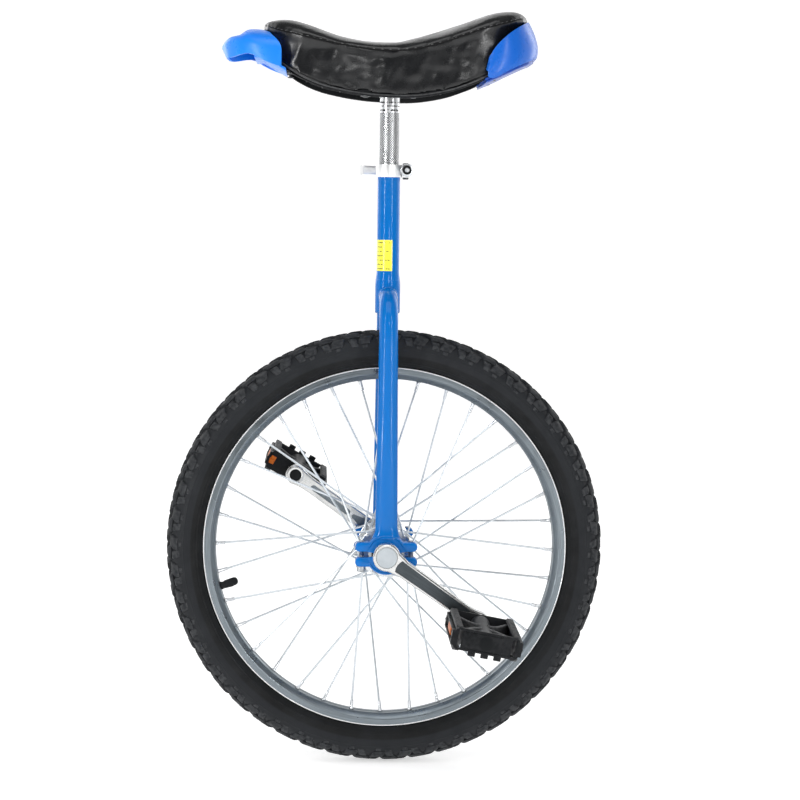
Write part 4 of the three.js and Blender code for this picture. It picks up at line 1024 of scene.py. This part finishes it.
def make_pedal(name, side):
    place = pedal_place(side)
    h = PEDAL_HALF_HEIGHT
    body = Build(place)
    plate = [(39.2, 0), (37.8, 4), (34.4, h - 1), (33, h - 0.4), (-33, h - 0.4), (-34.4, h - 1), (-37.8, 4),
             (-39.2, 0), (-37.8, -4), (-34.4, 1 - h), (-33, 0.4 - h), (33, 0.4 - h), (34.4, 1 - h), (37.8, -4)]
    body.plate(plate, PEDAL_INNER, PEDAL_INNER + 3.4, bevel=0.7)
    body.plate([(27, h - 0.4), (-27, h - 0.4), (-27, 0.4 - h), (27, 0.4 - h)], PEDAL_OUTER - 5, PEDAL_OUTER - 0.8,
               bevel=0.6)
    body.block((-18, PEDAL_OUTER - 2, 3 - h), (18, PEDAL_OUTER, h - 3), 0.8)
    for up in (1, -1):
        body.block((-32.5, PEDAL_OUTER - 4, up * (h - 1.2) - 1.2), (32.5, PEDAL_OUTER, up * (h - 1.2) + 1.2), 0.5)
    for end in (1, -1):
        body.plate([(end * 31.4, h - 0.4), (end * 34.2, h - 1.4), (end * 39.2, 0), (end * 34.2, 1.4 - h),
                    (end * 31.4, 0.4 - h)], PEDAL_OUTER - 5, PEDAL_OUTER, bevel=0.7)
        walls = [(end * 31.8, 1 - h), (end * 33.8, 1 - h), (end * 37.2, 0), (end * 33.8, h - 1), (end * 31.8, h - 1)]
        body.plate(walls, PEDAL_INNER + 1, PEDAL_OUTER - 1, bevel=0.5)
        for y in (PEDAL_INNER + 5, PEDAL_OUTER - 5):
            body.block((end * 35 - 3.4, y - 4.8, -8), (end * 35 + 3.4, y + 4.8, 8), 0.6)
        for z in (6.6, -6.6):
            body.block((end * 36 - 2.4, PEDAL_INNER + 1, z - 1.2), (end * 36 + 2.4, PEDAL_OUTER - 1, z + 1.2), 0.5)
    for x in (-14, 0, 14):
        body.block((x - 4, PEDAL_OUTER - 3.6, -h - 4.5), (x + 4, PEDAL_OUTER - 0.4, 1 - h), 0.5)
    body.finish(f"{name}_pedal_cage", f"{name}_pedal", "black_plastic", [f"{name}_pedal_body"])
    make_pedal_treads(name, place)
    make_pedal_core(name, place)
    make_reflectors(name, place)


def make_pedal_treads(name, place):
    """Ribbed bars along both ends of the pedal, on its top and its underside."""
    treads = Build(place)
    h = PEDAL_HALF_HEIGHT
    for end in (1, -1):
        for up in (1, -1):
            low, high = sorted((up * (h - 2.6), up * (h - 0.1)))
            x0, x1 = sorted((end * 27.6, end * 35.4))
            treads.block((x0, PEDAL_INNER + 0.2, low), (x1, PEDAL_OUTER - 0.2, high), 0.6)
            for i in range(22):
                y = PEDAL_INNER + 4 + i * 4.25
                low, high = sorted((up * (h - 2.4), up * (h + 1.5)))
                treads.block((x0 + 0.4, y - 1.1, low), (x1 - 0.2, y + 1.1, high), 0.35)
    treads.finish(f"{name}_pedal_treads", f"{name}_pedal", "tread_plastic", slot="black_plastic")


def make_pedal_core(name, place):
    """Barrel that draws in at its middle, and four curved arms out to the corners."""
    core = Build(place)
    middle, half = PEDAL_MIDDLE, PEDAL_OUTER - PEDAL_MIDDLE
    core.turned_y([(6.4, PEDAL_INNER), (10.6, PEDAL_INNER), (11.2, PEDAL_INNER + 1), (11, PEDAL_INNER + 14),
                   (9.2, PEDAL_INNER + 26), (8.8, middle), (9.2, PEDAL_OUTER - 26), (11, PEDAL_OUTER - 14),
                   (11.2, PEDAL_OUTER - 4), (10.4, PEDAL_OUTER - 3.4), (6.4, PEDAL_OUTER - 3.4)], 48, True)
    section = ((-1, -0.85), (-0.7, -1), (0.7, -1), (1, -0.85), (1, 0.85), (0.7, 1), (-0.7, 1), (-1, 0.85))
    for end in (1, -1):
        for out in (1, -1):
            path = smooth_line([(end * 4, middle + out * 9), (end * 13, middle + out * 13),
                                (end * 23, middle + out * (half - 21)), (end * 32.5, middle + out * (half - 4))], 6)
            core.loft(ribbon(path, section, 2.6, 8.6, 0.9))
    core.finish(f"{name}_pedal_core", f"{name}_pedal", "tread_plastic", slot="black_plastic")
    cap = Build(place)
    cap.turned_y([(8.4, PEDAL_OUTER - 5), (8.9, PEDAL_OUTER - 4), (8.9, PEDAL_OUTER - 0.8), (8.2, PEDAL_OUTER),
                  (6.5, PEDAL_OUTER + 0.5), (2, PEDAL_OUTER + 0.7)], 40)
    cap.finish(f"{name}_pedal_plug", f"{name}_pedal", "black_plastic", [f"{name}_pedal_end_cap"])


def make_reflectors(name, place):
    """An amber lens in each end of the pedal, and the side of one that shows at its inner plate."""
    for end_name, end in ENDS:
        reflector = Build(place)
        outline = [(end * 35, -4.2), (end * 37.4, -4.2), (end * 37.9, 0), (end * 37.4, 4.2), (end * 35, 4.2)]
        reflector.plate(outline, PEDAL_MIDDLE - 17, PEDAL_MIDDLE + 17, bevel=0.5)
        reflector.finish(f"{name}_pedal_{end_name}_lens", f"{name}_pedal", "amber_plastic",
                         [f"{name}_pedal_{end_name}_reflector"])
    window = Build(place)
    window.plate([(28.4, -5), (34.6, -5), (35.4, 0), (34.6, 5), (28.4, 5)], PEDAL_INNER - 0.35,
                 PEDAL_INNER + 2, bevel=0.6)
    window.finish(f"{name}_pedal_side_lens", f"{name}_pedal", "amber_plastic")


for crank_name, crank_side in SIDES:
    make_crank(crank_name, crank_side)
    make_crank_fittings(crank_name, crank_side)
    make_pedal(crank_name, crank_side)


# ---- Saddle ----

cover_edge = curve_through([(-155, 804), (-140, 797.5), (-120, 788), (-104, 781), (-88, 774.3), (-64, 766.2),
                            (-31, 760.5), (2, 760), (34, 762.2), (67, 768), (84, 772.8), (101, 780), (118, 790),
                            (130, 796.3), (143, 803)])
half_width = curve_through([(-155, 64), (-100, 73), (-40, 63), (10, 56), (60, 59), (100, 64), (143, 58)])


def end_factor(x, grow=0.0):
    """How far the saddle's rounded ends have drawn in at x: 1 in the middle, 0 at nose and tail."""
    along = min(abs(x - SADDLE_MIDDLE) / (SADDLE_REACH + grow), 1)
    return (1 - along ** 5) ** 0.42


pad_top = curve_through([(-155, 845), (-151, 851), (-146, 855), (-134, 857.8), (-111.5, 854.5), (-77.9, 841.4),
                         (-44.3, 830.8), (-10.7, 822.8), (23, 822.2), (56.7, 827.2), (79.2, 835), (101.6, 842.6),
                         (118.4, 845.4), (132.9, 843.6), (140, 841), (143, 839.6)])
side_seam = curve_through([(-155, 844), (-143.2, 846), (-128.9, 841.8), (-96.1, 831.6), (-52.4, 816.8),
                           (-19.6, 809.8), (13.3, 809.3), (46.2, 813.1), (79, 819.1), (117.3, 828.2), (132, 833.5),
                           (143, 838.2)])


def pad_plan(x, grow):
    return (half_width(x) + grow) * max(end_factor(x, grow), 0.02)


def pad_rings(grow, top_bulge, side_bulge):
    """Rings across the saddle from tail to nose: crowned top, edge at the seam, and sides down to the base."""
    rings = []
    for i in range(129):
        x = SADDLE_MIDDLE - (SADDLE_REACH + grow) * cos(pi * i / 128)
        end = max(end_factor(x, grow), 0.02)
        width = pad_plan(x, grow)
        seam, low, top = side_seam(x), cover_edge(x), pad_top(x) + grow
        ring = []
        for t in turns(104):
            c, s = cos(t), sin(t)
            tuck = 0
            if s >= 0:
                y = width * signed(c, 0.62)
                z = seam + (top - seam) * s ** 1.1 + top_bulge * s * s * end
            else:
                share = min(1.0, -s * 1.25)
                wall = width * (0.965 - 0.025 * share ** 2) + side_bulge * sin(pi * share)
                y = signed(c, 0) * wall if share < 1 else wall * c / 0.6
                z = seam - (seam - low) * share * end ** 0.25
                tuck = min(1, 12 * share)
            ring.append((x - (1.6 if x > 0 else -1.6) * (1 - end) * tuck, y, z))
        rings.append(ring)
    return rings


def box_ring(x, half, low, high):
    return [(x, -half, low), (x, -half, high), (x, half, high), (x, half, low)]


def hollow_under(piece):
    """Cuts the recess that the base sits in out of the pad's underside."""
    tool = Build()
    rings = []
    for i in range(60):
        x = SADDLE_MIDDLE - 139 * cos(pi * i / 59)
        rings.append(box_ring(x, max(base_width(x) - 2.4, 0.5), cover_edge(x) - 14, cover_edge(x) + 14.3))
    tool.loft(rings)
    carve(piece, tool, Matrix())


def stitched(point):
    """True where stitching and staples hold the cover still: along the side seam and at its lower edge."""
    x, y, z = point
    at_side = abs(y) > pad_plan(x, 0) - 5 or abs(x - SADDLE_MIDDLE) > SADDLE_REACH - 6
    return at_side and abs(z - side_seam(x)) < 2.4 or z < cover_edge(x) + 2.5


def inflate(piece, held, cap):
    """Swells a closed pad as cloth under pressure; points slow down as they near cap, in millimetres."""
    even = piece.modifiers.new("even", "REMESH")
    even.mode = "VOXEL"
    even.voxel_size = 4.4 * MM
    bake(piece)
    start = [vertex.co.copy() for vertex in piece.data.vertices]
    group = piece.vertex_groups.new(name="stitched")
    group.add([vertex.index for vertex in piece.data.vertices if held(vertex.co / MM)], 1, "REPLACE")
    cloth = piece.modifiers.new("swell", "CLOTH").settings
    cloth.quality = 5
    cloth.tension_stiffness = 20
    cloth.compression_stiffness = 20
    cloth.shear_stiffness = 10
    cloth.bending_stiffness = 3
    cloth.use_pressure = True
    cloth.uniform_pressure_force = 4
    cloth.vertex_group_mass = "stitched"
    cloth.effector_weights.gravity = 0
    for step in range(1, 21):
        bpy.context.scene.frame_set(step)
    bake(piece)
    bpy.context.scene.frame_set(1)
    for vertex, before in zip(piece.data.vertices, start):
        moved = vertex.co - before
        reach = moved.length / MM
        if reach > 0:
            vertex.co = before + moved * (cap * (1 - exp(-reach / cap)) / reach)


def make_cover():
    build = Build()
    top_bulge, side_bulge = ((-0.6, -2.2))
    build.loft(pad_rings(-0.5, top_bulge, side_bulge))
    piece = build.finish("saddle_padding", "seat", "leatherette", ["saddle_cover", "saddle_foam"], sharp=60)
    inflate(piece, stitched, 5)
    piece.modifiers.new("smooth", "SUBSURF").levels = 1
    bake(piece)
    smooth(piece)
    wrinkle(piece)
    hollow_under(piece)


def wrinkle(piece):
    """Creases in the side panels, gathered below the seam, and a faint waviness on top."""
    for vertex in piece.data.vertices:
        x, y, z = (c / MM for c in vertex.co)
        below = side_seam(x) - z
        side = min(1, max(0, (below - 1) / 8), max(0, (z - cover_edge(x)) / 9)) * min(1, abs(y) / 30)
        flow = noise.noise(Vector((x / 11 + 0.35 * z / 10, z / 26, y / 90)))
        fold = noise.noise(Vector((x / 26 + 3, z / 12, y / 60 + 5)))
        push = side * (1.1 * flow + 1.0 * fold) + 0.3 * fold
        vertex.co += vertex.normal * push * MM


def round_edge(steps, inset, width, height):
    """A path all round the saddle, where width and height give its half width and its height at x."""
    path = []
    for i in range(steps + 1):
        turn = 2 * pi * i / steps
        x = SADDLE_MIDDLE + (SADDLE_REACH - inset) * cos(turn)
        path.append((x, width(x) * max(end_factor(x, -3), 0.02) * (1 if sin(turn) >= 0 else -1), height(x)))
    return path


def make_binding():
    """The bound lower edge of the cover, all round the base."""
    def height(x):
        return side_seam(x) - (side_seam(x) - cover_edge(x)) * end_factor(x, -3) ** 0.25 + 0.5

    binding = Build()
    binding.swept(round_edge(160, 4, lambda x: 0.94 * half_width(x), height), 1.0, 10)
    # The greyer plastic makes this edge read as a thin light line: painted highlight on a real binding.
    binding.finish("cover_binding", "seat", "tread_plastic", slot="leatherette")


def make_seam():
    """The dark seam between top and side panels, and the row of stitches just above it."""
    steps = 200
    path = [Vector(p) for p in round_edge(steps, 3.5, lambda x: half_width(x) - 0.4, lambda x: side_seam(x) + 0.3)]
    rings = []
    for i in range(steps):
        along = (path[(i + 1) % steps] - path[i - 1]).normalized()
        out = along.cross(Vector((0, 0, 1))).normalized()
        up = out.cross(along)
        rings.append([path[i] + (out * cos(t) + up * sin(t)) * 0.95 for t in turns(10)])
    welt = Build()
    welt.loft(rings, closed=True)
    welt.finish("saddle_welt", "seat", "seam_black", slot="leatherette")
    thread = Build()
    for i in range(0, steps, 2):
        along = (path[i + 1] - path[i]).normalized()
        lift = along.cross(Vector((0, 0, 1))).normalized() * 0.75 + Vector((0, 0, 0.95))
        thread.swept([path[i] + lift + along * t for t in (0, 0.4, 2.2, 2.6)], (0.15, 0.36, 0.36, 0.15), 6)
    thread.finish("saddle_stitches", "seat", "tread_plastic", slot="leatherette")


def sheet(name, rows, material, replaced):
    """A grid of points as one thick sheet with rounded rims; its thickness goes inwards from the points."""
    build = Build()
    grid = [[build.bm.verts.new(point) for point in row] for row in rows]
    for near, far in zip(grid, grid[1:]):
        for i in range(len(near) - 1):
            build.bm.faces.new((near[i], near[i + 1], far[i + 1], far[i]))
    piece = build.finish(name, "seat", material, replaced, slot="blue_plastic")
    solid = piece.modifiers.new("wall", "SOLIDIFY")
    solid.thickness = SHELL_THICKNESS * MM
    solid.offset = -1
    solid.use_even_offset = True
    rim = piece.modifiers.new("rim", "BEVEL")
    rim.width = 0.7 * MM
    rim.segments = 3
    rim.limit_method = "ANGLE"
    rim.angle_limit = radians(50)
    bake(piece)
    smooth(piece)


handle_side = curve_through([(120, 822), (149, 822), (165, 822.4), (176, 821.8), (180, 820), (183.5, 817),
                             (HANDLE_TIP, 813)])
handle_crown = curve_through([(120, 826), (135, 829.6), (142.5, 831.2), (152, 832), (158, 831.2), (162, 828.6),
                              (166, 825), (171, 823.2), (176, 822), (181, 819), (186, 813)])
handle_low = curve_through([(120, 789.3), (132.3, 793.4), (142.3, 797.9), (152.3, 803.4), (158, 804.2), (165.6, 803),
                            (175.6, 800.8), (181, 801), (186, 804.2)])


def nose_plan(y):
    """How far forward the padding reaches at y."""
    return SADDLE_MIDDLE + SADDLE_REACH * max(0.0, 1 - (abs(y) / 59) ** 2.38) ** 0.2


def handle_width(x):
    return 58.5 * max(0.0, 1 - (max(0.0, x - 108) / 78.2) ** 2.3) ** 0.46


def make_handle():
    """A hooded grip: flat sides, a crowned roof and front, open below, its rear edge curved round the nose."""
    rows = []
    for j in range(61):
        arch = pi * j / 60
        level = sin(arch) ** 0.42
        across = signed(cos(arch), 0.3)
        corner = 120.8 + 14.4 * max(0.0, (level - 0.5) / 0.5) ** 2.6
        rear = max(corner, nose_plan(56 * across) + 1.6)
        row = []
        for i in range(37):
            lean = 5 * (1 - level) * (i / 36) ** 3
            x = rear + (HANDLE_TIP - rear) * sin(pi / 2 * i / 36)
            y = handle_width(x) * across
            crown = (handle_crown(x) - handle_side(x)) * (1 - across ** 2) * level
            row.append((x - lean, y, handle_low(x) + (handle_side(x) - handle_low(x)) * level + crown))
        rows.append(row)
    sheet("handle_hood", rows, "blue_plastic", ["front_handle"])
    # A thin paler tube along the hood's lower edges: painted highlight.
    edge = Build()
    for side in (1, -1):
        edge.swept([(x, side * (handle_width(x) - 0.3), handle_low(x) + 0.2) for x in range(123, 159, 3)],
                   0.8, 10)
    edge.finish("handle_edge", "seat", "blue_painted_highlight", slot="blue_plastic")
    tongue = Build()
    rings = []
    for i in range(24):
        x = 116 + 35 * i / 23
        low = cover_edge(x) - 3.3
        rings.append(box_ring(x, min(57, handle_width(x) - 1), low, low + 3))
    tongue.loft(rings, bevel=0.7)
    tongue.finish("handle_tongue", "seat", "blue_plastic")


bumper_top = curve_through([(BUMPER_TAIL, 844.5), (-155, 841), (-143, 835.5), (-131, 829), (-120.4, 821.6),
                            (-113.3, 813.3), (-109.2, 806), (-106.2, 798), (BUMPER_FRONT, 789)])
bumper_low = curve_through([(-163.5, 806), (-157.8, 804.2), (-154.2, 802), (-139.2, 795), (-128.8, 790.2),
                            (-121, 786.2), (-113.8, 782.3), (-108.6, 780.9), (-105, 783.6)])


def bumper_path(share):
    """The bumper's outer face from above, round the tail as share goes from -1, at the right front edge, to 1."""
    turn = pi / 2 * (1 - abs(share))
    x = BUMPER_FRONT + (BUMPER_TAIL - BUMPER_FRONT) * sin(turn) ** 0.9
    return x, BUMPER_HALF_WIDTH * cos(turn) ** 0.9 * (1 if share >= 0 else -1)


def make_bumper():
    """A shell round the saddle's tail with an arched upper rim, a rolled lip along its foot, and a flange below."""
    count = 121
    plan = [bumper_path(2 * i / (count - 1) - 1) for i in range(count)]
    rows = []
    for j in range(17):
        share = j / 16
        tuck = 2.4 * (1 - share) ** 7
        belly = 1.5 * sin(pi * share)
        row = []
        for x, y in plan:
            tail = min(1, max(0, (-120 - x) / 43))
            low, high = bumper_low(x), bumper_top(x)
            row.append((x + tail * (11 * share ** 1.5 + tuck) - belly * tail, y * (1 - 0.05 * share + 0.012 * belly)
                        - tuck * (1 if y > 0 else -1) * (1 - tail), low + (high - low) * share))
        rows.append(row)
    sheet("bumper_shell", rows, "blue_tail", ["rear_bumper"])
    # Thin paler tubes along the shell's front edges: painted highlight.
    rim = Build()
    for end in (0, -1):
        rim.swept([row[end] for row in rows], 0.6, 8)
    rim.finish("bumper_front_edge", "seat", "blue_painted_highlight", slot="blue_plastic")
    # The rolled lip is real; its paler blue is painted highlight.
    lip = Build()
    rings = []
    for x, y in plan:
        out = Vector((-max(0.0, BUMPER_FRONT - x) / 58, y / BUMPER_HALF_WIDTH, 0)).normalized()
        middle = Vector((x, y, bumper_low(x) + 0.6)) - out * 1.6
        rings.append([middle + out * 2 * cos(t) + Vector((0, 0, 0.55 * sin(t))) for t in turns(12)])
    lip.loft(rings)
    lip.finish("bumper_lip", "seat", "blue_painted_highlight", slot="blue_plastic")
    # The flange takes the darker blue copy: painted shade under the saddle's tail.
    flange = Build()
    for near, far, low, height, inset, bevel in ((-102, -160, -2.6, 2.3, 4, 0.8), (-103, -158, -5.8, 3.6, 7, 1.4)):
        rings = []
        for i in range(24):
            x = near + (far - near) * i / 23
            z = cover_edge(x) + low
            width = (BUMPER_HALF_WIDTH - inset) * (1 - max(0.0, (-x - 102) / 61) ** 2.6) ** 0.5
            rings.append(box_ring(x, width, z, z + height))
        flange.loft(rings, bevel=bevel)
    flange.finish("bumper_flange", "seat", "blue_painted_shade", slot="blue_plastic")


def base_width(x):
    """Half the base's width at x, out to its lip."""
    tail, nose = SADDLE_TAIL + 7, SADDLE_NOSE - 11
    reach = min(1.0, abs(x - (tail + nose) / 2) / ((nose - tail) / 2))
    return 0.955 * half_width(x) * (1 - reach ** 4) ** 0.5


def make_base():
    """An inverted tray with a rounded lip under the cover's edge and ribs across its underside."""
    build = Build()
    rings = []
    for i in range(90):
        x = -8 - 139.5 * cos(pi * i / 89)
        w = max(base_width(x), 5.5)
        z = cover_edge(x)
        drop, lip = (2, 0) if -101 < x < 112 else (0, 1.6)
        rings.append([(x, y, z + lift) for y, lift in (
            (-w + lip + 1, -drop), (-w + lip, -drop + 0.6), (-w + lip, -0.5), (-w + lip + 0.8, 0.1), (-w + 3, 0.6),
            (-w + 3.2, 12.5), (-w + 4.4, 13.9), (w - 4.4, 13.9), (w - 3.2, 12.5), (w - 3, 0.6), (w - lip - 0.8, 0.1),
            (w - lip, -0.5), (w - lip, -drop + 0.6), (w - lip - 1, -drop), (w - 5, -drop + 0.3), (w - 5.4, 10.5),
            (-w + 5.4, 10.5), (-w + 5, -drop + 0.3))])
    build.loft(rings)
    for y in (-44, -36, 36, 44):
        build.loft([[(x, y - 1, cover_edge(x) + 3), (x, y + 1, cover_edge(x) + 3), (x, y + 1, cover_edge(x) + 11),
                     (x, y - 1, cover_edge(x) + 11)] for x in range(-110, 91, 8)], bevel=0.3)
    for x in (-100, -80, -60, 56, 76, 94):
        w = base_width(x) - 5
        build.block((x - 1, -w, cover_edge(x) + 3), (x + 1, w, cover_edge(x) + 11), 0.3)
    for x, y in ((112, 34), (112, -34), (-112, 38), (-112, -38)):
        z = cover_edge(x)
        build.turned_z([(2.3, z + 0.4), (6, z + 0.4), (6, z + 11), (2.3, z + 11)], 32, True, (x, y))
    build.finish("base_tray", "seat", "black_plastic", ["saddle_base"])


def make_post():
    """A knurled tube with a plain band at its top, under a ribbed plate bolted to the base by four studs."""
    tube = Build()
    angles = turns(KNURL_COUNT * 4)

    def plain(*sizes):
        return [[(r * cos(t), r * sin(t), z) for t in angles] for r, z in sizes]

    rings = plain((9, 612), (10.6, 612), (POST_RADIUS, 613), (POST_RADIUS, KNURL_LOW - 1))
    for level in range(int((KNURL_HIGH - KNURL_LOW) / (KNURL_PITCH / 4)) + 1):
        ring = []
        for k, t in enumerate(angles):
            one, other = (k + level) % 4, (k - level) % 4
            groove = 0.42 * ((one == 0) + (other == 0)) - (0.2 if one == 0 and other == 0 else 0)
            r = POST_RADIUS + 0.12 - groove
            ring.append((r * cos(t), r * sin(t), KNURL_LOW + level * KNURL_PITCH / 4))
        rings.append(ring)
    rings += plain((POST_RADIUS, KNURL_HIGH + 0.6), (POST_RADIUS, 766), (9, 766))
    tube.loft(rings)
    for side in (1, -1):
        tube.plate([(side * 10.6, 760), (side * 10.6, 766.3), (side * 16, 766.3), (side * 11.4, 761)], -1.5, 1.5,
                   bevel=0.5)
    weld(tube, (0, 0, 765.7), "Z", 11.3, 1.5)
    corners = []
    for x_side, y_side in ((1, 1), (-1, 1), (-1, -1), (1, -1)):
        turned = (0, 90) if x_side == y_side else (90, 0)
        corners += [(x_side * x, y_side * y) for x, y in arc((31, 19), 5, *turned, 5)]
    tube.plate(corners, 766.2, 770.2, "Z", 0.8, 3)
    tube.finish("knurled_post", "seat", "post_steel", ["seat_post"], slot="zinc_steel", sharp=50)
    for end_name, end in ENDS:
        for side_name, side in SIDES:
            centre = (end * 27, side * 16)
            stud = Build()
            stud.turned_z([(2.5, 761.6), (3, 761.9), *((3 - 0.22 * (k % 2), 762.1 + 0.2 * k) for k in range(4)),
                           (3, 763), (3, 773.5)], 24, centre=centre)
            stud.plate(hex_outline(10, centre), 762.6, 765.5, "Z", 0.5)
            stud.turned_z([(3.2, 765.3), (6, 765.3), (6, 765.9), (3.2, 765.9)], 32, True, centre)
            # The studs' dark steel colour is painted shade under the base.
            stud.finish(f"stud_{end_name}_{side_name}", "seat", "dark_steel",
                        [f"saddle_stud_{end_name}_{side_name}"])


def make_shell_screws():
    """Screw heads under the saddle that hold the handle's tongue and the bumper's flange to the base."""
    for shell, x, y, drop in (("handle", 112, 34, 3.3), ("bumper", -112, 38, 5.8)):
        for side_name, side in SIDES:
            seat = cover_edge(x) - drop + 0.7
            screw = Build()
            screw.turned_z([(1.6, seat + 0.4), (1.6, seat - 0.2), (2.6, seat - 0.6), (3.4, seat - 0.4),
                            (3.8, seat + 0.2), (3.8, seat + 0.8), (2, seat + 0.9), (2, seat + 7)], 32,
                           centre=(x, side * y))
            screw.finish(f"{shell}_screw_{side_name}_head", "seat", "dark_steel", [f"{shell}_screw_{side_name}"])


make_cover()
make_binding()
make_seam()
make_handle()
make_bumper()
make_base()
make_post()
make_shell_screws()


# ---- The CAD nodes that stay, with their finishes ----

KEPT = {"rim_tape": "black_plastic", "inner_tube": "tyre_rubber", "axle": "dark_steel"}
for side_name, _ in SIDES:
    KEPT[f"{side_name}_bearing_inner_ring"] = "bearing_steel"
    KEPT[f"{side_name}_pedal_bush"] = "dark_steel"
    KEPT[f"{side_name}_pedal_nut"] = "zinc_steel"
for node, finish_name in KEPT.items():
    for material_slot in nodes[node].material_slots:
        material_slot.material = MATERIALS[finish_name]
